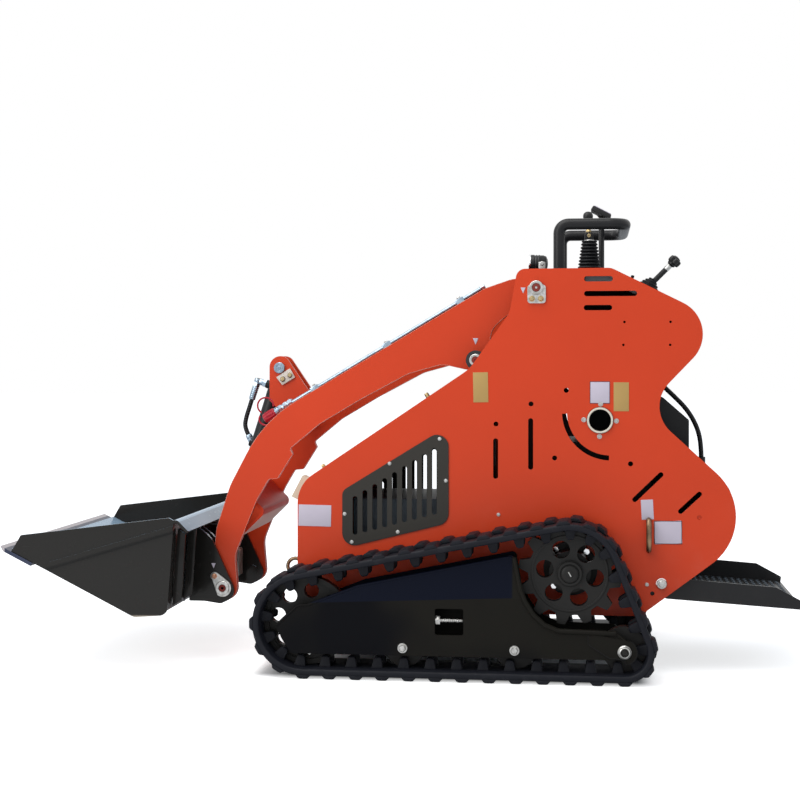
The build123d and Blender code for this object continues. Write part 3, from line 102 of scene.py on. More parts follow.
def sum_node(operation, swapped=False):
    """Method of a Socket that adds a Math node to its tree."""
    def apply(self, other=0.0):
        pair = (other, self) if swapped else (self, other)
        return self.graph.add("ShaderNodeMath", dict(enumerate(pair)), operation=operation)
    return apply


class Socket:
    """Output of a node; arithmetic on it adds Math nodes to its tree."""

    def __init__(self, graph, link):
        self.graph = graph
        self.link = link

    __add__ = __radd__ = sum_node("ADD")
    __mul__ = __rmul__ = sum_node("MULTIPLY")
    __sub__ = sum_node("SUBTRACT")
    __rsub__ = sum_node("SUBTRACT", swapped=True)
    __truediv__ = sum_node("DIVIDE")
    __mod__ = sum_node("MODULO")
    __pow__ = sum_node("POWER")
    __abs__ = sum_node("ABSOLUTE")
    floored = sum_node("FLOOR")
    above = sum_node("GREATER_THAN")

    def beside(self, name):
        """Another output of the same node."""
        return Socket(self.graph, self.link.node.outputs[name])

    def rising(self, low, high):
        """0 below low, 1 above high, and a smooth climb between them."""
        reach = {"Value": self, "From Min": low, "From Max": high}
        return self.graph.add("ShaderNodeMapRange", reach, interpolation_type="SMOOTHSTEP")


class Graph:
    """A node tree, shader or geometry, whose nodes come from one method."""

    def __init__(self, tree):
        self.tree = tree

    def add(self, kind, inputs=None, output=0, **settings):
        node = self.tree.nodes.new(kind)
        for name, value in settings.items():
            setattr(node, name, value)
        for key, value in (inputs or {}).items():
            if isinstance(value, Socket):
                self.tree.links.new(value.link, node.inputs[key])
            else:
                node.inputs[key].default_value = value
        return Socket(self, node.outputs[output]) if node.outputs else None


class Finish(Graph):
    """A material: its own patterns, ending in one Principled shader."""

    def __init__(self, name):
        self.material = bpy.data.materials.new(name)
        self.material.use_nodes = True
        super().__init__(self.material.node_tree)
        self.tree.nodes.clear()
        self.where = self.add("ShaderNodeTexCoord", output="Object")

    def noise(self, scale, detail=2.0, roughness=0.5, stretch=None):
        where = self.where
        if stretch:
            where = self.add("ShaderNodeMapping", {"Vector": where, "Scale": (1.0, 1.0, stretch)})
        inputs = {"Vector": where, "Scale": scale, "Detail": detail, "Roughness": roughness}
        return self.add("ShaderNodeTexNoise", inputs)

    def waves(self, direction, scale):
        inputs = {"Vector": self.where, "Scale": scale}
        return self.add("ShaderNodeTexWave", inputs, bands_direction=direction)

    def axis(self, index, vector=None):
        return self.add("ShaderNodeSeparateXYZ", {"Vector": vector or self.where}, index)

    def height(self):
        return self.axis(2)

    def look_up(self):
        """1 on faces that look straight up when the piece rests, -1 on those that look down."""
        return self.axis(2, self.add("ShaderNodeTexCoord", output="Normal"))

    def soft_edges(self, radius):
        return self.add("ShaderNodeBevel", {"Radius": radius}, samples=4)

    def edge_mask(self, radius):
        """1 along sharp edges, 0 on the flats between them."""
        flat = self.add("ShaderNodeNewGeometry", output="Normal")
        turned = {0: self.soft_edges(radius), 1: flat}
        same = self.add("ShaderNodeVectorMath", turned, "Value", operation="DOT_PRODUCT")
        return (1.0 - same).rising(0.01, 0.12)

    def mix(self, share, first, second):
        inputs = {0: share}
        for key, value in ((6, first), (7, second)):
            inputs[key] = value if isinstance(value, Socket) else (*value, 1.0)
        return self.add("ShaderNodeMix", inputs, 2, data_type="RGBA")

    def bump(self, height, distance, strength, edge=None):
        """Relief, over edges rounded to a radius of edge metres."""
        inputs = {"Height": height, "Distance": distance, "Strength": strength}
        if edge:
            inputs["Normal"] = self.soft_edges(edge)
        return self.add("ShaderNodeBump", inputs)

    def done(self, base, rough, normal, **more):
        inputs = {"Base Color": base, "Roughness": rough, "Normal": normal}
        for key, value in more.items():
            inputs[key.replace("_", " ").title().replace("Ior", "IOR")] = value
        self.add("ShaderNodeOutputMaterial", {"Surface": self.add("ShaderNodeBsdfPrincipled", inputs)})
        return self.material


def tone(colour, factor):
    return tuple(min(1.0, channel * factor) for channel in colour)


# Colour of the pale patches near the ground: dust, and partly a painted reflection of the pale floor
DUST_AND_FLOOR_LIGHT = (0.42, 0.36, 0.30)
PAINT_EDGE = 0.0012

# Where a finish changes over, from and to, in the frame's metres
SIDE_PLATE_SKIN = (0.2826, 0.2838)
SIDE_PLATE_SHADE = (0.20, 0.26)
FRAME_WINDOW_START = (-0.246, -0.242)
FRAME_WINDOW_END = (0.320, 0.326)
BUCKET_HEEL = (0.166, 0.174)
BLADE_TIP = (-1.1190, -1.1160)
ROD_EYE = (0.8575, 0.8590)
EXHAUST = (22.5, 707.0)
EXHAUST_BORE = 32.0


def dark_inside(finish, base):
    """Side plates are in deep shade on their inner faces and in their slots."""
    inner = 1.0 - abs(finish.axis(1)).rising(*SIDE_PLATE_SKIN)
    behind = finish.axis(0).rising(*SIDE_PLATE_SHADE)
    return finish.mix(inner * behind, base, (0.014, 0.006, 0.005))


def painted_edge_highlights(finish, base):
    """Painted highlight: the cut edges lightened to cream, where they catch the light."""
    return finish.mix(finish.edge_mask(0.0026) * 0.8, base, (0.82, 0.66, 0.56))


def painted_sky_on_lean(finish, base):
    """Painted reflection: the track frames take the sky's blue above their fold, where they lean in."""
    along = finish.axis(0)
    fold = (along + 0.2435) * 0.04 + 0.210
    mottle = finish.noise(2.4, 2.0).rising(0.42, 0.60)
    base = finish.mix(mottle, (0.0032, 0.0034, 0.0048), (0.0115, 0.0106, 0.0086))
    above = (finish.height() - fold).rising(-0.001, 0.001)
    window = along.rising(*FRAME_WINDOW_START) * (1.0 - along.rising(*FRAME_WINDOW_END))
    return finish.mix(above * window, base, (0.0040, 0.0056, 0.0130))


def heel_wear_and_painted_sky(finish, base):
    """Bare patch where the bucket's floor rubs the ground, and a painted reflection of the sky on the faces
    that look up.
    """
    bare = 1.0 - (finish.height() + finish.noise(34.0, 3.0) * 0.006).rising(*BUCKET_HEEL)
    base = finish.mix(bare, base, (0.44, 0.38, 0.30))
    return finish.mix(finish.look_up().rising(0.55, 0.8) * 0.85, base, (0.30, 0.43, 0.56))


def tube_painted_shade_and_light(finish, base):
    """Painted light on the cross tubes: painted shade, a deep red, on faces that look up, and the floor's
    light painted pale on faces that look down.
    """
    up = finish.look_up()
    base = finish.mix(up.rising(0.0, 0.5), base, (0.30, 0.020, 0.012))
    return finish.mix(1.0 - up.rising(-0.75, -0.35), base, (0.72, 0.55, 0.46))


def paint(name, colour, rough, dust, shine=0.25, over=None, coat=0.0):
    """Sprayed paint: faint mottling, fine orange peel, pale patches near the ground that are a little dust
    and partly a painted reflection of the pale floor, own patches over it.
    """
    finish = Finish(name)
    cloud = finish.noise(2.6, 4.0, 0.6)
    grain = finish.noise(34.0, 3.0)
    peel = finish.noise(420.0, 1.0)
    base = finish.mix(cloud, tone(colour, 0.90), tone(colour, 1.08))
    # Paler in patches towards the ground: dust, and partly painted floor light
    low = (0.62 - finish.height()) * 1.7
    patch = finish.noise(9.0, 5.0, 0.65).rising(0.42, 0.72)
    dust_and_floor_light = (low * patch * dust).rising(0.0, 1.0)
    base = finish.mix(dust_and_floor_light, base, DUST_AND_FLOOR_LIGHT)
    if over:
        base = over(finish, base)
    scuff = finish.noise(7.0, 6.0, 0.7, 9.0).rising(0.66, 0.72)
    rough_now = grain * 0.10 + (rough - 0.05) + dust_and_floor_light * 0.3 + scuff * 0.10
    normal = finish.bump(peel, 0.0003, 0.22, PAINT_EDGE)
    return finish.done(base, rough_now, normal, specular_ior_level=shine, coat_weight=coat,
                       coat_roughness=0.12)


def metal(name, light, dark, rough, grain=90.0, scratch=0.0, pits=0.0):
    """Plated or bare metal with drifting tint, brushed lines and pits."""
    finish = Finish(name)
    tint = finish.noise(grain, 4.0, 0.6)
    base = finish.mix(tint.rising(0.3, 0.7), dark, light)
    lines = finish.noise(60.0, 3.0, 0.6, 28.0)
    wear = finish.noise(14.0, 6.0, 0.7).rising(0.5, 0.75)
    base = finish.mix(wear * pits, base, tone(dark, 0.45))
    rough_now = tint * 0.16 + (rough - 0.08) + wear * pits * 0.35 + lines * scratch * 0.2
    normal = finish.bump(lines * scratch + tint * 0.4, 0.0004, 0.3, 0.0006)
    return finish.done(base, rough_now, normal, metallic=1.0)


def rubber(name, colour, rough, dust):
    """Moulded rubber: mould grain, dusty high spots, a dull sheen."""
    finish = Finish(name)
    cloud = finish.noise(8.0, 5.0, 0.65)
    grain = finish.noise(700.0, 2.0)
    chalk = finish.noise(26.0, 6.0, 0.7).rising(0.48, 0.78) * dust
    base = finish.mix(cloud, tone(colour, 0.75), tone(colour, 1.25))
    base = finish.mix(chalk, base, (0.045, 0.045, 0.052))
    rough_now = cloud * 0.16 + (rough - 0.08) + chalk * 0.15
    normal = finish.bump(grain + cloud * 1.5, 0.0005, 0.35, 0.0016)
    return finish.done(base, rough_now, normal, specular_ior_level=0.18)


def plastic(name, colour, rough, texture=900.0, strength=0.2):
    finish = Finish(name)
    cloud = finish.noise(11.0, 3.0)
    grain = finish.noise(texture, 2.0)
    base = finish.mix(cloud, tone(colour, 0.88), tone(colour, 1.12))
    normal = finish.bump(grain, 0.0003, strength, 0.0008)
    return finish.done(base, cloud * 0.12 + (rough - 0.06), normal, specular_ior_level=0.3)


def hose_rubber(name):
    """Wrapped hose cover: fine cloth ribs across it."""
    finish = Finish(name)
    ribs = finish.waves("Z", 60.0)
    cloud = finish.noise(30.0, 4.0)
    base = finish.mix(cloud, (0.004, 0.004, 0.005), (0.014, 0.014, 0.015))
    normal = finish.bump(ribs + cloud * 0.4, 0.0014, 0.8)
    return finish.done(base, cloud * 0.2 + 0.42, normal, specular_ior_level=0.3)


def cutting_steel(name):
    """Blued blade, polished bright along its tip."""
    finish = Finish(name)
    cloud = finish.noise(20.0, 5.0, 0.65)
    tip = 1.0 - (finish.axis(0) + cloud * 0.003).rising(*BLADE_TIP)
    base = finish.mix(cloud, (0.030, 0.036, 0.060), (0.075, 0.085, 0.130))
    base = finish.mix(tip, base, (0.42, 0.39, 0.41))
    return finish.done(base, cloud * 0.15 + 0.28, finish.bump(cloud, 0.0004, 0.3, 0.0008), metallic=1.0)


def rod_steel(name):
    """Chromed rod whose eye, above the rod, is painted black."""
    finish = Finish(name)
    tint = finish.noise(40.0, 4.0, 0.6)
    eye = finish.height().rising(*ROD_EYE)
    bright = finish.mix(tint, (0.78, 0.79, 0.80), (0.86, 0.87, 0.88))
    base = finish.mix(eye, bright, (0.013, 0.013, 0.014))
    return finish.done(base, eye * 0.26 + 0.10, finish.bump(tint, 0.0003, 0.2, 0.0006), metallic=1.0 - eye)


def lamp_glass(name):
    """Clear lens with moulded flutes."""
    finish = Finish(name)
    flutes = finish.waves("Y", 50.0)
    base = finish.mix(flutes, (0.86, 0.88, 0.90), (0.95, 0.96, 0.97))
    return finish.done(base, 0.06, finish.bump(flutes, 0.0012, 0.5), transmission_weight=0.8, ior=1.46)


def sooty_pipe(name):
    """Pale plated pipe, black with soot inside its bore."""
    finish = Finish(name)
    axis = spot(EXHAUST[0], 0.0, EXHAUST[1])
    across = finish.axis(0) - axis.x
    up = finish.height() - axis.z
    radius = (across * across + up * up) ** 0.5
    grime = finish.noise(60.0, 5.0, 0.7)
    clean = (radius + grime * 0.0012).rising(EXHAUST_BORE * MM, EXHAUST_BORE * MM + 0.0022)
    plated = finish.mix(grime, (0.34, 0.25, 0.19), (0.56, 0.46, 0.38))
    base = finish.mix(clean, (0.006, 0.006, 0.006), plated)
    rough_now = 0.85 - clean * 0.42 + grime * 0.08
    return finish.done(base, rough_now, finish.bump(grime, 0.0006, 0.4), metallic=clean * 0.15)


ORANGE = (0.610, 0.050, 0.012)

FINISHES = {
    "orange": paint("orange_paint_coat", ORANGE, 0.36, 0.22),
    "side": paint("side_plate_coat", ORANGE, 0.36, 0.22, over=dark_inside),
    "arm": paint("arm_plate_coat", ORANGE, 0.36, 0.22, over=painted_edge_highlights),
    # The cross tubes' orange is a little darker than the rest, as painted shade
    "tube": paint("cross_tube_coat", (0.560, 0.042, 0.011), 0.42, 0.22, 0.10, tube_painted_shade_and_light),
    "black": paint("black_paint_coat", (0.015, 0.015, 0.016), 0.32, 0.10, 0.22),
    "frame": paint("frame_paint_coat", (0.0060, 0.0056, 0.0052), 0.36, 0.03, 0.06, painted_sky_on_lean),
    "bucket": paint("bucket_paint_coat", (0.014, 0.013, 0.0115), 0.26, 0.05, 0.12, heel_wear_and_painted_sky, 0.25),
    "grille": paint("grille_paint_coat", (0.036, 0.033, 0.028), 0.46, 0.10, 0.2),
    "grey": paint("tank_paint_coat", (0.085, 0.105, 0.125), 0.42, 0.10),
    "keeper": paint("keeper_coat", (0.66, 0.60, 0.53), 0.4, 0.02),
    "cast": paint("cast_black", (0.015, 0.0145, 0.0135), 0.40, 0.06, 0.2),
    "pale_ring": paint("pale_ring_coat", (0.68, 0.62, 0.52), 0.45, 0.1),
    "zinc": metal("zinc_plate", (0.64, 0.64, 0.63), (0.40, 0.40, 0.38), 0.34),
    "yellow_zinc": metal("yellow_zinc_plate", (0.66, 0.50, 0.25), (0.42, 0.34, 0.19), 0.36),
    "bronze": metal("bronze_bar", (0.36, 0.25, 0.15), (0.12, 0.08, 0.055), 0.38, 30.0, 0.4, 0.6),
    "chrome": metal("chrome_rod", (0.86, 0.87, 0.88), (0.78, 0.79, 0.80), 0.10, 40.0),
    "steel": metal("worn_steel", (0.46, 0.44, 0.42), (0.26, 0.23, 0.20), 0.42, 30.0, 0.8, 0.7),
    "line_steel": metal("line_steel", (0.42, 0.52, 0.62), (0.28, 0.36, 0.44), 0.24, 50.0),
    "copper": metal("copper_bolt", (0.62, 0.34, 0.22), (0.42, 0.22, 0.14), 0.4),
    "edge_steel": cutting_steel("cutting_steel"),
    "rod": rod_steel("lift_rod_steel"),
    "rubber": rubber("track_rubber", (0.0062, 0.0070, 0.0110), 0.54, 0.22),
    "boot": rubber("boot_rubber", (0.0075, 0.0078, 0.0095), 0.5, 0.10),
    "hose": hose_rubber("hose_cover"),
    "black_plastic": plastic("black_plastic", (0.013, 0.013, 0.014), 0.36),
    "pad": plastic("pad_polymer", (0.66, 0.58, 0.44), 0.55, 300.0, 0.3),
    "red_cap": plastic("red_cap_plastic", (0.38, 0.008, 0.022), 0.34),
    "red_centre": plastic("red_bore_primer", (0.20, 0.028, 0.020), 0.6),
    "white_plate": plastic("blank_white_plate", (0.54, 0.49, 0.57), 0.45, 500.0, 0.1),
    "yellow_plate": plastic("blank_yellow_plate", (0.44, 0.28, 0.095), 0.45, 500.0, 0.1),
    "border": plastic("plate_border", (0.045, 0.045, 0.060), 0.5, 500.0, 0.1),
    # Black lines of painted shade, along the bucket's creases and round the tail plates
    "shade_line": plastic("seam_sealer", (0.0015, 0.0015, 0.0015), 0.7, 500.0, 0.1),
    "lens": lamp_glass("lamp_lens"),
    "soot_pipe": sooty_pipe("sooty_pipe"),
}

NODE_FINISH = {
    "orange": ("tilt_bracket", "front_panel"),
    "side": ("side_plate_left", "side_plate_right"),
    "arm": ("arm_left", "arm_right"),
    "tube": ("arm_cross_tubes",),
    "black": (
        "hood_panel", "top_deck", "bulkhead", "rear_panels", "belly_pan", "handle_hoop", "lift_anchors",
        "rear_box", "cross_tubes", "lift_barrel_left", "lift_barrel_right", "tilt_barrel", "platform"),
    "frame": ("track_frame_left", "track_frame_right"),
    "bucket": ("bucket", "coupler"),
    "grille": ("grilles",),
    "grey": ("tank",),
    "cast": ("engine_block", "sprockets", "drive_motors", "front_idlers", "rollers"),
    "zinc": ("arm_pins", "platform_pins"),
    "bronze": ("front_rings", "lashing_bars"),
    "rod": ("lift_rod_left", "lift_rod_right"),
    "chrome": ("tilt_rod",),
    "edge_steel": ("cutting_edge",),
    "steel": ("latches",),
    "rubber": ("track_left", "track_right"),
    "black_plastic": ("control_levers", "boom_lever", "work_lamp", "rear_cable", "tilt_hose"),
    "line_steel": ("hydraulic_lines",),
    "pad": ("stop_blocks",),
    "soot_pipe": ("exhaust",),
}


def dress_nodes():
    for finish, nodes in NODE_FINISH.items():
        for node in nodes:
            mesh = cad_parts[node].data
            mesh.materials.clear()
            mesh.materials.append(FINISHES[finish])


CREASE = 32.0                # degrees above which an edge is drawn sharp


def place_piece(name, mesh, finish, body="chassis", crease=CREASE):
    """Object of a finished mesh, in place, riding on its body."""
    if not mesh.materials:
        mesh.materials.append(FINISHES[finish])
    mesh.shade_smooth()
    mesh.set_sharp_from_angle(angle=math.radians(crease))
    piece = loose_object(name, mesh)
    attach(piece, body)
    return piece


def rays(axis, count, first=None):
    """Unit rays all round an axis."""
    first = first or axis.orthogonal().normalized()
    second = axis.cross(first)
    turns = [2 * math.pi * i / count for i in range(count)]
    return [first * math.cos(turn) + second * math.sin(turn) for turn in turns]


def skin(rows, count, closed=False):
    """Faces that join rows of count points each: a solid with two ends, or a closed ring."""
    faces = []
    for row in range(rows if closed else rows - 1):
        a, b = row * count, (row + 1) % rows * count
        for i in range(count):
            j = (i + 1) % count
            faces.append((a + i, a + j, b + j, b + i))
    if not closed:
        last = (rows - 1) * count
        faces.append(tuple(reversed(range(count))))
        faces.append(tuple(range(last, last + count)))
    return faces


def fill(mesh, points, faces):
    made = [mesh.verts.new(point) for point in points]
    for face in faces:
        mesh.faces.new([made[i] for i in face])


class Shape:
    """A mesh being built from lathed, extruded and swept forms, in metres."""

    def __init__(self):
        self.mesh = bmesh.new()

    def lathe(self, profile, origin, axis, steps, closed=False):
        """Rows of radius and height in mm, turned round an axis: a solid, or a ring if closed."""
        axis = Vector(axis).normalized()
        points = []
        for radius, height in profile:
            for ray in rays(axis, steps):
                points.append(origin + axis * height * MM + ray * radius * MM)
        fill(self.mesh, points, skin(len(profile), steps, closed))

    def prism(self, corners, y0, y1, bevel):
        """Corners given as x, z in mm, drawn out from y0 to y1, with bevelled edges."""
        points = [spot(x, y, z) for y in (y0, y1) for x, z in corners]
        self.bevelled(points, skin(2, len(corners)), bevel)

    def bevelled(self, points, faces, bevel):
        part = bmesh.new()
        fill(part, points, faces)
        bmesh.ops.recalc_face_normals(part, faces=part.faces)
        edges = [edge for edge in part.edges if edge.calc_face_angle(0.0) > 0.4]
        bmesh.ops.bevel(part, geom=edges, offset=bevel * MM, segments=2, profile=0.6, affect="EDGES")
        scratch = bpy.data.meshes.new("scratch")
        part.to_mesh(scratch)
        part.free()
        self.mesh.from_mesh(scratch)
        bpy.data.meshes.remove(scratch)

    def brick(self, centre, size, forward, up, bevel, taper=1.0):
        """Block of size mm along forward, across and up; taper narrows its top."""
        forward = Vector(forward).normalized()
        across = Vector(up).cross(forward).normalized()
        up = forward.cross(across)
        points = []
        for high in (-1, 1):
            share = taper if high > 0 else 1.0
            for a, b in CORNERS:
                flat = (forward * a * size[0] + across * b * size[1]) / 2 * share
                points.append(centre + (flat + up * high * size[2] / 2) * MM)
        self.bevelled(points, skin(2, 4), bevel)

    def tube(self, path, radius, sides):
        """Round tube through places in metres, closed at both ends."""
        points = []
        aside = None
        for i, place in enumerate(path):
            run = (path[min(i + 1, len(path) - 1)] - path[max(i - 1, 0)]).normalized()
            aside = aside or run.orthogonal().normalized()
            aside = (aside - run * aside.dot(run)).normalized()
            points.extend(place + ray * radius * MM for ray in rays(run, sides, aside))
        fill(self.mesh, points, skin(len(path), sides))

    def finished(self, name):
        """Plain mesh of all the forms in it."""
        bmesh.ops.recalc_face_normals(self.mesh, faces=self.mesh.faces)
        mesh = bpy.data.meshes.new(name)
        self.mesh.to_mesh(mesh)
        self.mesh.free()
        return mesh

    def piece(self, name, finish, body="chassis", crease=CREASE):
        return place_piece(name, self.finished(name), finish, body, crease)


def rounds(name, finish, places, steps, profile, closed=False, body="chassis"):
    """Piece of one turned form, at each of some places with their aims."""
    shape = Shape()
    for origin, axis in places:
        shape.lathe(profile, origin, axis, steps, closed)
    return shape.piece(name, finish, body)


BEND_STEPS = 6


def rounded(points, bend):
    """Polyline in metres with its corners rounded to a bend radius in mm."""
    path = [points[0]]
    for before, here, after in zip(points, points[1:], points[2:]):
        back = (before - here).normalized()
        ahead = (after - here).normalized()
        half = back.angle(ahead) / 2
        room = 0.48 * min((before - here).length, (after - here).length)
        reach = min(bend * MM / math.tan(half), room)
        start, end = here + back * reach, here + ahead * reach
        for i in range(BEND_STEPS + 1):
            t = i / BEND_STEPS
            path.append(start * (1 - t) ** 2 + here * 2 * t * (1 - t) + end * t ** 2)
    path.append(points[-1])
    return path


def polar(centre, radius, degrees):
    """Place x, z round a centre, the angle from +X towards +Z."""
    turn = math.radians(degrees)
    return centre[0] + radius * math.cos(turn), centre[1] + radius * math.sin(turn)


def arc_points(centre, radius, first, last, count):
    """Places x, z on an arc, angles in degrees."""
    return [polar(centre, radius, first + (last - first) * i / (count - 1)) for i in range(count)]


def curve_object(name, lines, kind="POLY"):
    """Curve through lines of places in metres."""
    data = bpy.data.curves.new(name, "CURVE")
    data.dimensions = "3D"
    for line in lines:
        strand = data.splines.new(kind)
        strand.points.add(len(line) - 1)
        for point, place in zip(strand.points, line):
            point.co = (*place, 1.0)
    return loose_object(name, data)


class Grow(Graph):
    """A Geometry Nodes tree with named inputs, run once on an object."""

    def __init__(self, name, **inputs):
        super().__init__(bpy.data.node_groups.new(name, "GeometryNodeTree"))
        kinds = {"source": "Geometry", "finish": "Material", **inputs}
        self.names = {key: self.socket(key, "INPUT", kind).identifier for key, kind in kinds.items()}
        self.socket("made", "OUTPUT", "Geometry")
        self.entry = self.tree.nodes.new("NodeGroupInput")

    def socket(self, name, way, kind):
        return self.tree.interface.new_socket(name=name, in_out=way, socket_type=f"NodeSocket{kind}")

    def given(self, key):
        return Socket(self, self.entry.outputs[key])

    def shape_of(self, key):
        """Geometry of an object that is given."""
        return self.add("GeometryNodeObjectInfo", {"Object": self.given(key)}, "Geometry")

    def moved(self, shape, **how):
        return self.add("GeometryNodeTransform", {"Geometry": shape, **how})

    def lifted(self, shape, height):
        return self.moved(shape, Translation=self.add("ShaderNodeCombineXYZ", {"Z": height}))

    def joined(self, parts):
        join = self.tree.nodes.new("GeometryNodeJoinGeometry")
        for part in parts:
            self.tree.links.new(part.link, join.inputs[0])
        return Socket(self, join.outputs[0])

    def drawn(self, low, high):
        """A number drawn at random for each copy."""
        inputs = {2: low, 3: high, "Seed": self.given("seed")}
        return self.add("FunctionNodeRandomValue", inputs, 1, data_type="FLOAT")

    def attribute(self, name, kind):
        return self.add("GeometryNodeInputNamedAttribute", {"Name": name}, data_type=kind)

    def aimed(self, spin):
        """Rotation that stands a copy along its point's aim, spun round it."""
        aim = self.attribute("aim", "FLOAT_VECTOR")
        upright = self.add("FunctionNodeAlignRotationToVector", {"Vector": aim}, axis="Z")
        turn = {"Rotation": upright, "Rotate By": spin}
        return self.add("FunctionNodeRotateRotation", turn, rotation_space="LOCAL")

    def copied(self, shape, points=None, **how):
        """Copies of a shape on points, those of the source unless others are named."""
        points = points or self.add("GeometryNodeMeshToPoints", {"Mesh": self.given("source")})
        return self.add("GeometryNodeInstanceOnPoints", {"Points": points, "Instance": shape, **how})

    def end(self, geometry):
        """Every tree ends by realizing its copies and setting their finish."""
        real = self.add("GeometryNodeRealizeInstances", {"Geometry": geometry})
        dressed = self.add("GeometryNodeSetMaterial", {"Geometry": real, "Material": self.given("finish")})
        self.add("NodeGroupOutput", {0: dressed})
        return self

    def run(self, source, finish, **values):
        """Plain mesh that the tree makes of a source object, which is then removed."""
        modifier = source.modifiers.new("grow", "NODES")
        modifier.node_group = self.tree
        modifier[self.names["finish"]] = FINISHES[finish]
        for key, value in values.items():
            modifier[self.names[key]] = value
        graph = bpy.context.evaluated_depsgraph_get()
        mesh = bpy.data.meshes.new_from_object(source.evaluated_get(graph))
        bpy.data.objects.remove(source)
        return mesh


def fastener_tree():
    """Hex or round heads on washers, one on each point, along the point's aim."""
    grow = Grow("fasteners", sides="Int", across="Float", head="Float", washer="Float", rim="Float",
                seed="Int")
    sides, rim = grow.given("sides"), grow.given("rim")
    radius = grow.given("across") / 2
    body = grow.given("head") * 0.72
    cap = grow.given("head") * 0.28
    barrel = grow.add("GeometryNodeMeshCylinder", {"Vertices": sides, "Depth": body, "Radius": radius})
    crown = {"Vertices": sides, "Radius Top": radius * 0.8, "Radius Bottom": radius, "Depth": cap}
    crown = grow.add("GeometryNodeMeshCone", crown)
    ring = {"Vertices": 28, "Depth": rim, "Radius": grow.given("washer")}
    ring = grow.add("GeometryNodeMeshCylinder", ring)
    parts = [grow.lifted(barrel, rim + body / 2), grow.lifted(crown, rim + body), grow.lifted(ring, rim / 2)]
    spin = grow.add("FunctionNodeAxisAngleToRotation", {"Axis": UP, "Angle": grow.drawn(0.0, 1.05)})
    size = grow.attribute("size", "FLOAT")
    return grow.end(grow.copied(grow.joined(parts), Rotation=grow.aimed(spin), Scale=size))


def cloud_of_points(rows):
    """Object of loose points with an aim and a size each: rows of place, aim, size."""
    mesh = bpy.data.meshes.new("places")
    mesh.from_pydata([tuple(row[0]) for row in rows], [], [])
    mesh.attributes.new("aim", "FLOAT_VECTOR", "POINT")
    mesh.attributes.new("size", "FLOAT", "POINT")
    for i, (_, aim, size) in enumerate(rows):
        mesh.attributes["aim"].data[i].vector = Vector(aim)
        mesh.attributes["size"].data[i].value = size
    return loose_object("places", mesh)


FASTENERS = fastener_tree()
FASTENER_SEED = 7


def fasten(name, finish, rows, sides, across, head, washer, rim, body="chassis"):
    """Fasteners of one kind: rows of place in metres, aim and size; their own sizes in mm."""
    mesh = FASTENERS.run(
        cloud_of_points(rows), finish, sides=sides, across=across * MM, head=head * MM, washer=washer * MM,
        rim=rim * MM, seed=FASTENER_SEED)
    place_piece(name, mesh, finish, body, 30.0)


def on_sides(rows, out):
    """Fastener rows on both outer faces, from rows of x, z, size."""
    return [(place, aim, size) for x, z, size in rows for place, aim in both(x, out, z)]


BODY_OUT = 285.0
GRILLE_WALL = 3.0
TRACK_MID = 390.0
FRAME_OUT = TRACK_MID + 65.0
WHEEL_OUT = TRACK_MID + 16.0

# Tracks: the path of the belt's inner face, wheels as x, z, radius
IDLER = (-800.0, 143.0, 124.0)
SPROCKET = (SPROCKET_X, SPROCKET_Z, SPROCKET_BELT_R)
TAIL = (88.0, 81.0, 62.0)
TRACK_WIDTH = 180.0
BELT = 19.0
LUG = 10.0
LINKS = 36
ARC_STEPS = 26


def belt_path(grow):
    """Closed run of places x, z round the three wheels, grown outwards."""
    wheels = (IDLER, SPROCKET, TAIL)
    angles = []
    for i, (x, z, radius) in enumerate(wheels):
        x2, z2, radius2 = wheels[(i + 1) % 3]
        run = Vector((x2 - x, z2 - z))
        part = (radius - radius2) / run.length
        unit = run.normalized()
        normal = unit * part + Vector((-unit.y, unit.x)) * math.sqrt(1 - part ** 2)
        angles.append(math.degrees(math.atan2(normal.y, normal.x)))
    path = []
    for i, (x, z, radius) in enumerate(wheels):
        first, last = angles[i - 1], angles[i]
        if last > first:
            last -= 360
        path.extend(arc_points((x, z), radius + grow, first, last, ARC_STEPS))
    return path


def track_tree():
    """Belt swept round its path, with two staggered rows of lugs and two of guides."""
    grow = Grow("rubber_track", links="Int", width="Float", lug="Object", guide="Object", belt="Object")
    points = {"Curve": grow.given("source"), "Count": grow.given("links") * 4}
    points = grow.add("GeometryNodeCurveToPoints", points, mode="COUNT")
    outward = {0: points.beside("Tangent"), 1: (0.0, 1.0, 0.0)}
    outward = grow.add("ShaderNodeVectorMath", outward, operation="CROSS_PRODUCT")
    upright = grow.add("FunctionNodeAlignRotationToVector", {"Vector": outward}, axis="Z", pivot_axis="Y")
    step = grow.add("GeometryNodeInputIndex") % 4.0
    shift = grow.given("width") / 4
    parts = []
    for key, phase, side in (("lug", 0.0, -1), ("lug", 2.0, 1), ("guide", 1.0, -1), ("guide", 1.0, 1)):
        here = (0.5 - abs(step - phase)).above(0.0)
        shape = grow.moved(grow.shape_of(key), Rotation=(0.0, 0.0, 0.0 if side < 0 else math.pi))
        if key == "lug":
            shape = grow.moved(shape, Translation=grow.add("ShaderNodeCombineXYZ", {"Y": shift * side}))
        parts.append(grow.copied(shape, points, Selection=here, Rotation=upright))
    parts.append(grow.shape_of("belt"))
    return grow.end(grow.joined(parts))


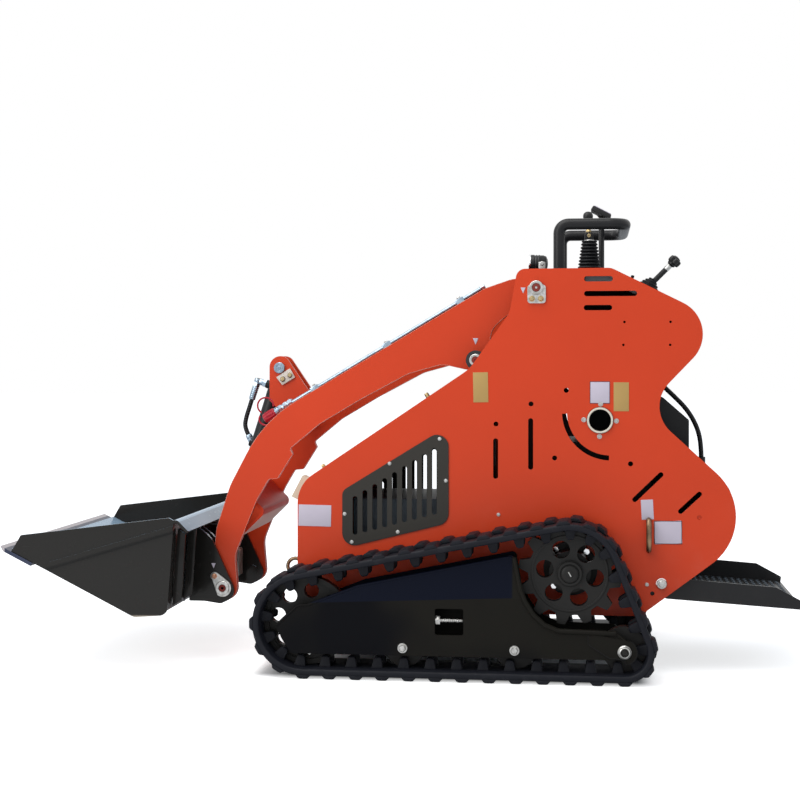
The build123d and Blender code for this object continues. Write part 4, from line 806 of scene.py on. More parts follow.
def lug_block():
    """Outer lug: a low soft bar across half the belt, its outer end sloped off, its inner end hooked."""
    base, tip, reach = 44.0, 26.0, TRACK_WIDTH / 4
    rows = [                 # y, width at the foot, width at the top, height, slip along the belt
        (-reach, base * 0.86, tip * 0.70, LUG * 0.72, 0.0),
        (-reach + 10, base, tip, LUG, 0.0),
        (0.0, base * 0.98, tip * 1.04, LUG, 0.0),
        (reach - 8, base * 0.98, tip, LUG, 3.0),
        (reach + 6, base * 0.78, tip * 0.72, LUG * 0.90, 6.0),
    ]
    points = []
    for y, wide, narrow, high, slip in rows:
        half = [(wide / 2, -2.0), (wide * 0.42, high * 0.30), (narrow / 2, high * 0.92)]
        half.append((narrow * 0.30, high))
        for x, z in [(-x, z) for x, z in half] + half[::-1]:
            points.append(Vector((slip + x, y, z)) * MM)
    shape = Shape()
    shape.bevelled(points, skin(len(rows), 8), 1.6)
    return loose_object("lug_shape", shape.finished("lug_shape"))


def guide_block():
    """Inner guide lug: a blunt tooth that narrows to a round tip."""
    near, far = 20.0, 45.0
    rows = ((33.0, 0.0, 0.0), (30.0, 1.5, 7.0), (25.0, 3.0, 20.0), (20.0, 4.0, 28.0), (12.0, 6.5, 32.0))
    points = []
    for wide, inset, deep in rows:
        for a, b in CORNERS:
            y = near + inset if b < 0 else far - inset
            points.append(Vector((a * wide / 2, -y, 2.0 - deep - BELT)) * MM)
    shape = Shape()
    shape.bevelled(points, skin(len(rows), 4), 2.2)
    return loose_object("guide_shape", shape.finished("guide_shape"))


def belt_band(side):
    """Belt with rolled edges and a shallow rib along each."""
    half = TRACK_WIDTH / 2
    edge = [                 # distance in from the edge, depth below the outer face
        (5, -BELT), (1.5, -17.0), (0, -14.0), (0, -5.0), (1.5, -1.8), (5, 0.0), (14, 0.0), (18, -2.6)]
    section = [(half - inset, depth) for inset, depth in edge]
    section += [(-y, depth) for y, depth in reversed(section)]
    rings = []
    for y, depth in section:
        rings.append([spot(x, side * TRACK_MID + y, z) for x, z in belt_path(BELT + depth)])
    stations = list(zip(*rings))
    shape = Shape()
    points = [point for station in stations for point in station]
    fill(shape.mesh, points, skin(len(stations), len(section), closed=True))
    return loose_object("belt_shape", shape.finished("belt_shape"))


def make_tracks():
    tree = track_tree()
    for side, name in SIDES:
        path = curve_object("track_path", [[spot(x, side * TRACK_MID, z) for x, z in belt_path(BELT)]])
        path.data.splines[0].use_cyclic_u = True
        lug, guide, belt = lug_block(), guide_block(), belt_band(side)
        mesh = tree.run(path, "rubber", links=LINKS, width=TRACK_WIDTH * MM, lug=lug, guide=guide, belt=belt)
        for shape in (lug, guide, belt):
            bpy.data.objects.remove(shape)
        piece = place_piece(f"rubber_track_{name}", mesh, "rubber", "chassis", 40.0)
        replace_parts(piece, f"track_{name}")


# Track frames: rolled rims along their top edges, tail plates, wheel bolts and tensioners
FRAME_LEAN = math.radians(10.0)
FOLD_LINE = ((-785.0, 200.0), (-210.0, 223.0))
RIM_PATH = [
    (-878.0, 138.0), (-818.0, 195.0), (-787.0, 197.0), (-646.0, 251.0), (-217.0, 338.0), (-199.0, 251.0),
    (-187.0, 222.0), (-164.0, 185.0), (-132.0, 156.0), (-94.0, 141.0), (62.0, 137.0), (108.0, 100.0)]
LIP_PATH = RIM_PATH[4:11]
TAIL_PLATE = arc_points(TAIL, 34.0, 60.0, -80.0, 12)
TAIL_PLATE += [(89.0, 61.0), (46.0, 64.0), (-11.0, 101.0), (-11.0, 132.0)]
ROLLER_BOLTS = [(-522.0, 79.0, 1.0), (-212.0, 79.0, 1.0)]


def frame_y(x, z):
    """Outer face of a track frame at a place, leaning in above its fold."""
    (x0, z0), (x1, z1) = FOLD_LINE
    fold = z0 + (x - x0) * (z1 - z0) / (x1 - x0)
    return FRAME_OUT - max(0.0, z - fold) * math.tan(FRAME_LEAN)


def make_frame_trim():
    for side, name in SIDES:
        rim, shade_line, screw = Shape(), Shape(), Shape()
        path = [spot(x, side * (frame_y(x, z) - 1.0), z - 3.0) for x, z in RIM_PATH]
        rim.tube(rounded(path, 18.0), 4.2, 8)
        path = [spot(x + 3.0, side * (frame_y(x, z) + 1.0), z - 6.0) for x, z in LIP_PATH]
        rim.tube(rounded(path, 30.0), 7.5, 12)
        rim.prism(TAIL_PLATE, side * (FRAME_OUT - 1.0), side * (FRAME_OUT + 3.5), 1.0)
        rim.piece(f"frame_rim_{name}", "frame")
        # A black line round each tail plate: painted shade at its edge
        shade_line.tube([spot(x, side * (FRAME_OUT + 3.2), z) for x, z in TAIL_PLATE], 1.5, 8)
        shade_line.piece(f"tail_seam_{name}", "shade_line")
        y = side * (FRAME_OUT - 14.0)
        screw.lathe([(5.0, 0), (5.0, 62), (4.0, 64)], spot(-418, y, 156), ALONG, 16)
        screw.lathe([(12.5, 0), (13.5, 1.5), (13.5, 12.5), (12.5, 14)], spot(-432, y, 156), ALONG, 6)
        for i in range(9):
            thread = spot(-414 + i * 5.6, y, 156)
            screw.lathe([(5.0, 0), (6.1, 1.4), (6.1, 2.0), (5.0, 3.4)], thread, ALONG, 16)
        screw.piece(f"tension_screw_{name}", "zinc")
    fasten("roller_bolts", "zinc", on_sides(ROLLER_BOLTS, FRAME_OUT), 6, 21.0, 9.0, 13.5, 2.4)
    tails = both(TAIL[0], FRAME_OUT + 3.5, TAIL[1])
    profile = [(10, 0), (19, 0), (19, 2.5), (16, 5), (15, 9), (12, 10.5), (10.5, 5)]
    rounds("tail_rings", "zinc", tails, 30, profile, closed=True)
    rounds("tail_nuts", "cast", tails, 6, [(10.8, 0), (10.8, 6), (8, 7.5)])
    scraper = Shape()
    for face, _ in both(IDLER[0] + 4, FRAME_OUT - 30, IDLER[1] - 78):
        scraper.brick(face, (34, 16, 14), (0.75, 0, -0.66), (0.66, 0, 0.75), 1.5)
    scraper.piece("idler_scrapers", "zinc")


MOTOR_BOLTS = (47.0, 128.0, 226.0)   # degrees round the motor's axis
HUB_CAP = [(35, -1), (35, 2), (33, 4), (27, 4.4), (25, 2.6), (23.5, 2.6), (23, 8), (20, 10), (11, 10.4)]
HUB_RIM = [(101, -11), (101, -8.6), (103, -7.8), (106, -7.8), (108, -8.6), (108, -11)]


def make_sprocket_trim():
    """Hub caps with their split pins, and the bolts of the motors and front wheels."""
    cap, pin = Shape(), Shape()
    for hub, aim in both(SPROCKET_X, WHEEL_OUT + 10, SPROCKET_Z):
        cap.lathe(HUB_CAP, hub, aim, 36)
        cap.lathe(HUB_RIM, hub, aim, 48, closed=True)
    for face, aim in both(SPROCKET_X, WHEEL_OUT + 20, SPROCKET_Z):
        cap.lathe([(10, 0), (10, 1.4), (7, 2.2)], face, aim, 12)
    for face, aim in both(SPROCKET_X, WHEEL_OUT + 21.2, SPROCKET_Z):
        pin.brick(face, (15, 3, 3), (0.5, 0, -0.86), aim, 0.8)
    cap.piece("sprocket_hubs", "cast")
    pin.piece("split_pins", "zinc")
    rows = [(*polar(SPROCKET, 67, degrees), 1.0) for degrees in MOTOR_BOLTS]
    fasten("motor_bolts", "chrome", on_sides(rows, BODY_OUT + 14), 6, 22.0, 12.0, 0.1, 0.1)
    rows = [(x, z, 0.8) for x, z in arc_points(IDLER, 28, 12, 300, 5)]
    fasten("wheel_bolts", "cast", on_sides(rows, WHEEL_OUT), 6, 14.0, 6.0, 9.0, 1.5)


# Side plates: screws, keepers, blank plates
GRILLE_SCREWS = [(-711, 433), (-580, 580), (-435, 652), (-417, 532), (-556, 383), (-690, 352)]
PLATE_SCREWS = [(-266, 436, 0.6), (154, 243, 0.62)]
KEEPER_BOLTS = [(-170, 1053, 1.0), (-145, 1053, 1.0)]
HOOD_BOLTS = [(-771, 560), (-468, 768)]
HOOD_SLOPE = Vector((-0.56, 0.0, 0.83))
LASHING_BAR = [(-3, 426), (10, 425), (18, 414), (18.4, 350), (12, 341), (-3, 340)]


def make_side_fasteners():
    rows = on_sides([(x, z, 0.62) for x, z in GRILLE_SCREWS], BODY_OUT + GRILLE_WALL)
    fasten("grille_screws", "zinc", rows, 16, 12.0, 4.0, 8.5, 1.0)
    rows = on_sides(PLATE_SCREWS, BODY_OUT)
    rows += [(spot(x, -BODY_OUT, z), LEFT, 0.82) for x, z in arc_points(EXHAUST, 46.0, 88, 358, 4)]
    fasten("plate_bolts", "zinc", rows, 6, 13.0, 5.0, 8.5, 1.4)
    rows = [(spot(x, side * 262.0, z), HOOD_SLOPE, 1.0) for x, z in HOOD_BOLTS for side, _ in SIDES]
    fasten("hood_bolts", "yellow_zinc", rows, 6, 13.0, 15.0, 10.0, 2.0)
    fasten("keeper_bolts", "yellow_zinc", on_sides(KEEPER_BOLTS, BODY_OUT + 5), 6, 14.0, 7.0, 8.5, 1.4)


def make_side_trim():
    outlet = [(spot(EXHAUST[0], -BODY_OUT, EXHAUST[1]), LEFT)]
    profile = [(31.0, -1), (31.0, 6.2), (32.2, 7.4), (35.4, 7.4), (36.8, 5.8), (36.8, -1)]
    rounds("exhaust_ring", "pale_ring", outlet, 48, profile, closed=True)
    rounds("hole_backings", "black", both(169, BODY_OUT - 11, 218), 20, [(12, 0), (12, 1.5), (11, 2.5)])
    profile = [(10, -2), (10, 0), (6.4, 0.6), (6.4, 4.2), (5, 5.0), (2, 4.4)]
    rounds("hole_plugs", "orange", both(300, BODY_OUT - 7.5, 434), 24, profile)
    bars = Shape()
    for side, _ in SIDES:
        bars.tube(rounded([spot(159, side * (BODY_OUT + out), z) for out, z in LASHING_BAR], 12.0), 7.6, 18)
    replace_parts(bars.piece("lashing_rods", "bronze", "chassis", 50.0), "lashing_bars")
    pivots = both(-158, BODY_OUT + 8, 1085)
    profile = [(19.6, -1), (19.6, 1.6), (18.6, 2.4), (13, 2.4), (12, 0.6)]
    rounds("pivot_ends", "zinc", pivots, 32, profile)
    rounds("pivot_bores", "red_centre", pivots, 24, [(11.8, 0.2), (11.8, 1.0), (4, 1.6), (3, 0.4)])
    profile = [(9, -26), (9, -1), (14, 0), (14.5, 1.5), (14.5, 6), (13, 8), (9, 8.4), (8, 9.6), (4, 10)]
    studs = rounds("platform_studs", "zinc", both(195, BODY_OUT, 246), 28, profile)
    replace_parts(studs, "platform_pins")


BLANK_PLATES = [             # middle x, z, width, height, turn in degrees, colour, border
    (-799.0, 427.0, 96.0, 62.0, -1.0, "white_plate", False),
    (-317.0, 800.0, 43.0, 86.0, 1.0, "yellow_plate", False),
    (22.0, 786.0, 55.0, 61.0, 0.0, "white_plate", True),
    (82.0, 774.0, 43.0, 82.0, 0.0, "yellow_plate", False),
    (155.0, 455.0, 34.0, 56.0, 3.0, "white_plate", False),
    (213.0, 391.0, 76.0, 64.0, 3.0, "white_plate", True),
]
SMALL_TAGS = [               # middle x, z, size, distance out from the middle, body
    (-195.6, 1076.8, 14.0, BODY_OUT, "chassis"),
    (-336.6, 932.4, 16.0, 216.0, "arms"),
    (-1112.1, 269.7, 13.0, 234.0, "bucket_body"),
]


def make_blank_plates():
    """Thin blank plates where the signs are, on both sides of the machine."""
    plates = {"white_plate": Shape(), "yellow_plate": Shape()}
    border = Shape()
    for x, z, wide, high, turn, colour, framed in BLANK_PLATES:
        lean = math.radians(turn)
        for face, aim in both(x, BODY_OUT + 0.4, z):
            plates[colour].brick(face, (wide, high, 0.8), (math.cos(lean), 0, math.sin(lean)), aim, 0.25)
        if not framed:
            continue
        for a, b in ((0, 1), (0, -1), (1, 0), (-1, 0)):
            size = (wide + 1.6, 1.6, 0.8) if b else (1.6, high + 1.6, 0.8)
            for face, aim in both(x + a * wide / 2, BODY_OUT + 0.6, z + b * high / 2):
                border.brick(face, size, ALONG, aim, 0.2)
    for colour, shape in plates.items():
        shape.piece(f"blank_{colour}s", colour)
    border.piece("plate_borders", "border")
    for x, z, size, out, body in SMALL_TAGS:
        small = Shape()
        corners = [(x - size / 2, z + size * 0.6), (x + size / 2, z + size * 0.6), (x, z - size * 0.6)]
        for side, _ in SIDES:
            small.prism(corners, side * (out - 0.2), side * (out + 0.7), 0.2)
        small.piece(f"small_tags_{body}", "white_plate", body)


# Deck: boots and levers, instrument pod, lamp, boom lever
DECK_TOP = 1135.0
LEVERS_Y = (-70.0, 70.0)
LEVER_LEAN = (-0.023, 0, 1)
LEVER_KNOB = [
    (6, -17), (8, -15.5), (11.8, -10), (14.2, -4.5), (15, 1), (14, 6.5), (11, 11), (6.5, 14), (2, 15)]
POD_LEAN = math.radians(28.0)


def boot_profile(foot, neck, height, ribs):
    """Bellows: ribs that shrink from the foot to the neck."""
    rows = [(foot + 3, 0.0), (foot + 3, 3.0), (foot - 2, 4.0)]
    step = (height - 10) / ribs
    for i in range(ribs):
        wide = foot + (neck - foot) * i / (ribs - 1)
        z = 5 + i * step
        for inset, share in ((5, 0.0), (1, 0.25), (0, 0.45), (1, 0.65)):
            rows.append((wide - inset, z + step * share))
    rows.extend([(neck - 5, height - 5), (neck - 2, height - 3), (neck - 2, height), (6.0, height)])
    return rows


def make_levers():
    boots, rods, knobs, washers, tips = Shape(), Shape(), Shape(), Shape(), Shape()
    for y in LEVERS_Y:
        foot = spot(-8, y, DECK_TOP)
        boots.lathe(boot_profile(36.0, 25.0, 98.0, 9), foot, UP, 36)
        washers.lathe([(14, 97), (15, 98), (15, 100.5), (14, 101.5), (8, 101.5)], foot, UP, 28)
        rods.lathe([(6, 96), (6, 158), (5, 160)], foot, LEVER_LEAN, 14)
        rods.brick(spot(-9, y, DECK_TOP + 113), (28, 17, 22), ALONG, UP, 2.5, 0.86)
        tips.lathe([(4.5, -10), (5.5, -9), (5.5, 9), (4.5, 10)], spot(-9, y, DECK_TOP + 114), RIGHT, 16)
        tips.lathe([(8, 124), (8.5, 125), (7.5, 131), (6.4, 132)], foot, LEVER_LEAN, 6)
        knobs.lathe(LEVER_KNOB, spot(-12, y, 1306), LEVER_LEAN, 28)
    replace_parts(boots.piece("lever_boots", "boot", "chassis", 50.0), "control_levers")
    rods.piece("lever_rods", "black_plastic")
    washers.piece("lever_washers", "zinc")
    tips.piece("lever_tips", "yellow_zinc")
    knobs.piece("lever_knobs", "black_plastic", "chassis", 50.0)


def make_pod():
    pod, face, rim = Shape(), Shape(), Shape()
    tilt = Vector((math.cos(POD_LEAN), 0.0, -math.sin(POD_LEAN)))
    normal = Vector((math.sin(POD_LEAN), 0.0, math.cos(POD_LEAN)))
    centre = spot(-4.5, 0, 1329) + (tilt * 31.75 + normal * 8.0) * MM
    pod.brick(centre, (64, 84.5, 16.4), tilt, normal, 4.0, 0.96)
    stalk = [(14, -1), (14, 4), (9, 6), (8.5, 8), (8.5, 174), (13, 179), (13, 184)]
    pod.lathe(stalk, spot(28, 0, DECK_TOP), UP, 24)
    pod.piece("instrument_pod", "black_plastic")
    face.brick(centre + normal * 8.4 * MM, (48, 68, 1.6), tilt, normal, 0.5)
    face.piece("instrument_face", "grey")
    for a, b in ((0, 1), (0, -1), (1, 0), (-1, 0)):
        off = tilt * a * 26.5 * MM + Vector((0, b, 0)) * 37.5 * MM
        size = (56, 3, 2.4) if b else (3, 76, 2.4)
        rim.brick(centre + normal * 8.8 * MM + off, size, tilt, normal, 0.8)
    rim.piece("instrument_rim", "white_plate")


BOOM_AXIS = Vector((0.446, 0.0, 0.895))
BOOM_BOOT = [
    (35, -2), (36, 1), (36, 5), (33, 7), (33.5, 11), (29.5, 14), (30, 19), (25, 22), (25, 27), (19, 30),
    (18.5, 35), (11, 38), (10, 43)]


def make_boom_lever():
    root = spot(159.5, -60, 1081.8)
    waist = root + BOOM_AXIS * 18 * MM
    grip = spot(242, -60, 1172)
    shaft = (grip - waist).normalized()
    reach = (grip - waist).length / MM
    boot, rod, collar, knob, toggle = Shape(), Shape(), Shape(), Shape(), Shape()
    boot.lathe(BOOM_BOOT, root, BOOM_AXIS, 36)
    rod.lathe([(8, 6), (8, reach - 34), (7, reach - 33)], waist, shaft, 20)
    collar.lathe([(7.4, reach - 36), (8.4, reach - 35), (8.4, reach - 19), (7, reach - 18)], waist, shaft, 20)
    knob.lathe([(8, -18), (12, -15), (13.5, -10), (13.5, 8), (11, 13), (5, 15)], grip, shaft, 24)
    for ray in rays(shaft, 5):
        knob.lathe([(4, -10), (8, -8), (9.2, 0), (8, 8), (4, 10)], grip + ray * 11 * MM, shaft, 14)
    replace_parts(boot.piece("boom_boot", "boot", "chassis", 50.0), "boom_lever")
    rod.piece("boom_rod", "black_plastic")
    collar.piece("boom_collar", "zinc")
    knob.piece("boom_knob", "black_plastic")
    base = spot(116, -60, 1104)
    toggle.lathe([(9, -4), (9, 3), (6, 5), (6, 9)], base, BOOM_AXIS, 18)
    toggle.lathe([(3, 7), (4, 18), (5.5, 24), (4, 27)], base, (0.15, 0, 1), 14)
    toggle.piece("deck_toggle", "black_plastic")


LAMP_SHELL = [
    (25, 0), (26.4, -1.5), (26.4, -12), (24.5, -14), (24.5, -16), (26, -18), (26, -20), (24.5, -22),
    (24.5, -24), (26, -26), (26, -28), (24.5, -30), (24.5, -40), (21, -48), (12, -52), (5, -53)]
LAMP_STAY = [                # middle x, y, z and size along, across, up
    ((-145.7, 0, 1132.4), (58, 40, 7)),
    ((-155, 0, 1146), (10.4, 20.4, 24)),
    ((-150, -28.0, 1158), (20, 4, 34)),
    ((-150, 28.0, 1158), (20, 4, 34)),
    ((-150, 0, 1142), (20, 60, 4)),
]


def make_lamp():
    """Work lamp: a cylinder with fins, a bright bezel and a fluted lens, on a folded foot."""
    ahead = (-1, 0, 0)
    centre = spot(-186, 0, 1172)
    shell, bezel, lens, stay = Shape(), Shape(), Shape(), Shape()
    shell.lathe(LAMP_SHELL, centre, ahead, 36)
    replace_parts(shell.piece("lamp_shell", "black_plastic", "chassis", 40.0), "work_lamp")
    profile = [(22.5, -1), (26.8, -2), (27.4, 1.5), (26, 4.5), (23.4, 4.2), (22.5, 1)]
    bezel.lathe(profile, centre, ahead, 36, closed=True)
    bezel.piece("lamp_bezel", "chrome", "chassis", 50.0)
    lens.lathe([(23, -0.5), (23, 1.5), (18, 3.8), (10, 5.0), (3, 5.4)], centre, ahead, 36)
    lens.piece("lamp_lens", "lens", "chassis", 60.0)
    for place, size in LAMP_STAY:
        stay.brick(spot(*place), size, ALONG, UP, 1.0)
    for face, aim in both(-150, 30.0, 1170):
        stay.lathe([(7, 0), (7, 4), (5.5, 5)], face, aim, 6)
    stay.piece("lamp_stay", "zinc")


# Platform floor: raised tread bars on its tray
FLOOR_START, FLOOR_END = (228.0, 206.5), (582.0, 183.5)
FLOOR_HALF = 258.0
TREAD_PITCH = 19.0
TREAD_BAR = (17.0, 5.2, 3.4)


def tread_tree():
    """Crossed bars, one on each point of a grid, turned by the point's parity."""
    grow = Grow("tread_bars", length="Float", width="Float", height="Float", columns="Int")
    bar = grow.add("GeometryNodeMeshUVSphere", {"Segments": 10, "Rings": 6, "Radius": 0.5})
    size = {"X": grow.given("length"), "Y": grow.given("width"), "Z": grow.given("height")}
    bar = grow.moved(bar, Scale=grow.add("ShaderNodeCombineXYZ", size))
    index, columns = grow.add("GeometryNodeInputIndex"), grow.given("columns")
    parity = (index % columns + (index / columns).floored()) % 2.0
    turn = grow.add("ShaderNodeCombineXYZ", {"Z": parity * (math.pi / 2) + math.pi / 4})
    spin = grow.add("FunctionNodeEulerToRotation", {"Euler": turn})
    return grow.end(grow.copied(bar, Rotation=grow.aimed(spin)))


def make_treads():
    start, end = spot(FLOOR_START[0], 0, FLOOR_START[1]), spot(FLOOR_END[0], 0, FLOOR_END[1])
    run = end - start
    normal = Vector((-run.z, 0, run.x)).normalized()
    columns = int(run.length / (TREAD_PITCH * MM))
    across = int(2 * FLOOR_HALF / TREAD_PITCH)
    rows = []
    for j in range(across):
        for i in range(columns):
            y = (j - (across - 1) / 2) * TREAD_PITCH * MM
            place = start + run * ((i + 0.5) / columns) + Vector((0, y, 0)) + normal * 0.2 * MM
            rows.append((place, normal, 1.0))
    length, width, height = (size * MM for size in TREAD_BAR)
    mesh = tread_tree().run(
        cloud_of_points(rows), "grey", length=length, width=width, height=height, columns=columns)
    # The bars take the pale blue-grey tank paint, lighter than the black tray, as a painted sheen of the
    # floor seen at a grazing angle
    place_piece("platform_treads", mesh, "grey", "step", 60.0)


# Lift arms: lines, couplers, bracket hardware
LINE_YS = (-184.0, -166.0)
LINE_FRONT, LINE_REAR = Vector((-884.0, 0.0, 753.0)), Vector((-316.0, 0.0, 1092.0))
CAP_DROOP = Vector((-40.0, 0.0, -24.0)).normalized()
CAP_LOOPS = [                # middle x, z, half width, half height, from and to degrees
    (-963.5, 743.0, 24.0, 24.0, 240.0, -5.0),
    (-961.0, 703.0, 22.0, 18.0, 150.0, 380.0),
]


def make_arm_lines():
    lines, nuts, caps, clamps = Shape(), Shape(), Shape(), Shape()
    slope = (LINE_REAR - LINE_FRONT).normalized()
    out = -slope
    for y in LINE_YS:
        across = Vector((0.0, y, 0.0))
        root, end = spot(*(LINE_FRONT + across)), spot(*(LINE_REAR + across))
        lines.tube([root, end], 6.0, 18)
        for step in (0, 16, 34):
            nuts.lathe([(12.4, 0), (13.6, 1.4), (13.6, 11.6), (12.4, 13)], root + out * step * MM, out, 6)
        nuts.lathe([(11, 10), (11, 47), (13, 48), (13.6, 50), (13.6, 60), (12, 62)], root, out, 26)
        for step in (50, 53, 56, 59):
            nuts.lathe([(13, 0), (14.2, 0.7), (14.2, 1.5), (13, 2.2)], root + out * step * MM, out, 26)
        nuts.lathe([(8.5, -9), (9.8, -8), (9.8, 4), (8.5, 5)], end, slope, 6)
        tip = root + out * 62 * MM
        caps.lathe([(13, -4), (15.6, -2), (15.6, 30), (14.0, 36), (8, 38.5)], tip, CAP_DROOP, 24)
        for ray in rays(out, 12):
            caps.lathe([(1.4, 2), (2.0, 4), (2.0, 26), (1.2, 30)], tip + ray * 15.2 * MM, CAP_DROOP, 6)
    for x, z, wide, high, first, last in CAP_LOOPS:
        circle = arc_points((0.0, 0.0), 1.0, first, last, 22)
        caps.tube([spot(x + wide * a, LINE_YS[0] - 12, z + high * b) for a, b in circle], 2.7, 8)
    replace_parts(lines.piece("arm_lines", "line_steel", "arms", 50.0), "hydraulic_lines")
    nuts.piece("line_fittings", "line_steel", "arms")
    caps.piece("coupler_caps", "red_cap", "arms", 45.0)
    normal = Vector((-slope.z, 0, slope.x))
    bolts = []
    for share in (0.12, 0.5, 0.88):
        base = spot(*(LINE_FRONT + (LINE_REAR - LINE_FRONT) * share + Vector((0.0, -175.0, 0.0))))
        clamps.brick(base - normal * 7.0 * MM, (26.4, 42, 32), slope, normal, 3.0)
        bolts.append((base + normal * 9 * MM, normal, 0.9))
    clamps.piece("line_clamps", "line_steel", "arms")
    fasten("clamp_bolts", "zinc", bolts, 6, 13.0, 5.0, 9.0, 1.4, "arms")


KEEPER_PLATE = [(-962.0, 826.0), (-919.0, 854.0), (-903.0, 826.0), (-943.0, 802.0)]
BRACKET_OUT = 40.0
TILT_PIN = (-952.0, 855.0)


def make_bracket_trim():
    profile = [(17, -1), (17, 8.2), (15.5, 9.8), (10, 9.8), (9, 8.6), (4.5, 8.6), (4, 9.6), (2, 9.6)]
    pins = both(TILT_PIN[0], BRACKET_OUT, TILT_PIN[1])
    rounds("bracket_pin_ends", "line_steel", pins, 30, profile, body="arms")
    keeper = Shape()
    keeper.prism(KEEPER_PLATE, -BRACKET_OUT - 6.4, -BRACKET_OUT - 4.4, 0.6)
    keeper.piece("bracket_keeper", "keeper", "arms")
    bolts = [(spot(x, -BRACKET_OUT - 5, z), LEFT, 1.0) for x, z in ((-941.5, 820.5), (-919.0, 833.0))]
    fasten("bracket_bolts", "yellow_zinc", bolts, 6, 14.0, 6.0, 8.5, 1.4, "arms")


EAR_OUT = 234.0
EAR_PIN, EAR_BOLT = (-1084.0, 205.0), (-1108.0, 240.0)


def make_coupler_trim():
    """Pin keepers on the outer ears, with their ringed pin ends and bolts."""
    plate = Shape()
    outline = arc_points(EAR_PIN, 26.0, -125.0, 55.0, 14) + arc_points(EAR_BOLT, 12.0, 55.0, 235.0, 10)
    for side, _ in SIDES:
        plate.prism(outline, side * EAR_OUT, side * (EAR_OUT + 6), 1.0)
    plate.piece("ear_keepers", "zinc", "bucket_body")
    pins = both(EAR_PIN[0], EAR_OUT + 6, EAR_PIN[1])
    profile = [(21, 0), (21, 3), (19.5, 4.2), (11.5, 4.2), (10.5, 2)]
    rounds("ear_pin_rings", "zinc", pins, 32, profile, body="bucket_body")
    profile = [(10.4, 0), (10.4, 2.6), (5, 3.2), (4, 2)]
    rounds("ear_pin_bores", "red_centre", pins, 20, profile, body="bucket_body")
    bolts = on_sides([(*EAR_BOLT, 1.0)], EAR_OUT + 6)
    fasten("ear_bolts", "copper", bolts, 6, 13.0, 5.0, 8.0, 1.2, "bucket_body")


UPPER_PORT, LOWER_PORT = 62.0, 250.0


def make_cylinder_trim():
    """Ports, elbow, crimped ferrule and glands of the cylinders, and the lift eyes' bushes."""
    top = spot(TILT_PIN[0], 0, TILT_PIN[1])
    axis = Vector((-163.0, 0.0, -515.0)).normalized()
    out = Vector((axis.z, 0.0, -axis.x))
    port = top + axis * UPPER_PORT * MM
    corner = top + (axis + out) * UPPER_PORT * MM
    boss, ports = Shape(), Shape()
    boss.lathe([(13, 20), (13, 31), (11.5, 33)], port, out, 24)
    boss.lathe([(13, 18), (13, 27), (11.5, 29)], top + axis * LOWER_PORT * MM, out, 24)
    boss.piece("tilt_port_bosses", "black", "tilt_barrel_body")
    ports.lathe([(11, 32), (12.4, 33.4), (12.4, 43), (11, 44.4)], port, out, 6)
    ports.lathe([(10, 44), (10, 54), (9, 56)], port, out, 22)
    ports.lathe([(2, -10.5), (7, -8), (10.2, -3), (10.6, 2), (9.6, 7)], corner, -axis, 22)
    ports.lathe([(10.4, 5), (11.8, 6.4), (11.8, 17), (10.4, 18.4)], corner, axis, 6)
    crimp = [(9.4, 18)]
    for z in range(21, 57, 6):
        crimp.extend([(10.4, z), (10.4, z + 3), (9.6, z + 4.4)])
    ports.lathe(crimp + [(10.4, 58), (9.4, 60.2), (8, 60.4)], corner, axis, 24)
    root = top + (axis * LOWER_PORT + out * 19.5) * MM
    away = (out - axis).normalized()
    ports.lathe([(10.6, 5), (11.8, 6.2), (11.8, 15), (10.6, 16.2)], root, away, 6)
    ports.lathe([(9.4, 14), (10.2, 17), (10.2, 26.5), (9.2, 28.2), (8, 28.4)], root, away, 24)
    ports.piece("tilt_port_fittings", "line_steel", "tilt_barrel_body")
    bush = [(10, -0.5), (18, -0.5), (18, 2.6), (16.5, 3.8), (11.5, 3.8), (10, 2.6)]
    bore = [(10.4, 1.8), (10.4, 2.8), (4, 3.2), (3, 2.4)]
    for (_, name), eye in zip(SIDES, both(-333, 268.5, 878)):
        body = f"lift_rod_{name[0]}"
        rounds(f"lift_bush_{name}", "zinc", [eye], 28, bush, closed=True, body=body)
        rounds(f"lift_bore_{name}", "red_centre", [eye], 20, bore, body=body)


# Bucket: weld beads and a stiffened back
BUCKET_IN = 470.0
BUCKET_BACK = [(-1640.0, 338.0), (-1283.0, 164.0), (-1196.0, 170.0), (-1179.0, 424.0)]
BUCKET_RIB = [(-1184.0, 180.0), (-1158.0, 196.0), (-1146.0, 384.0), (-1168.0, 400.0)]
BUCKET_CREASE = [(-1537.4, 282.0), (-1537.4, 289.0), (-1167.8, 399.0), (-1167.8, 392.0)]
BEAD_R = 3.4
BEAD_SEED = 3


def bead_tree():
    """Weld bead: flattened ripples along a line, each a little different."""
    grow = Grow("weld_bead", pitch="Float", radius="Float", seed="Int")
    cut = {"Curve": grow.given("source"), "Length": grow.given("pitch")}
    cut = grow.add("GeometryNodeResampleCurve", cut, mode="LENGTH")
    points = grow.add("GeometryNodeCurveToPoints", {"Curve": cut}, mode="EVALUATED")
    ripple = grow.add("GeometryNodeMeshIcoSphere", {"Radius": grow.given("radius"), "Subdivisions": 2})
    ripple = grow.moved(ripple, Scale=(1.0, 1.0, 0.55))
    turn, size = points.beside("Rotation"), grow.drawn(0.82, 1.12)
    return grow.end(grow.copied(ripple, points, Rotation=turn, Scale=size))


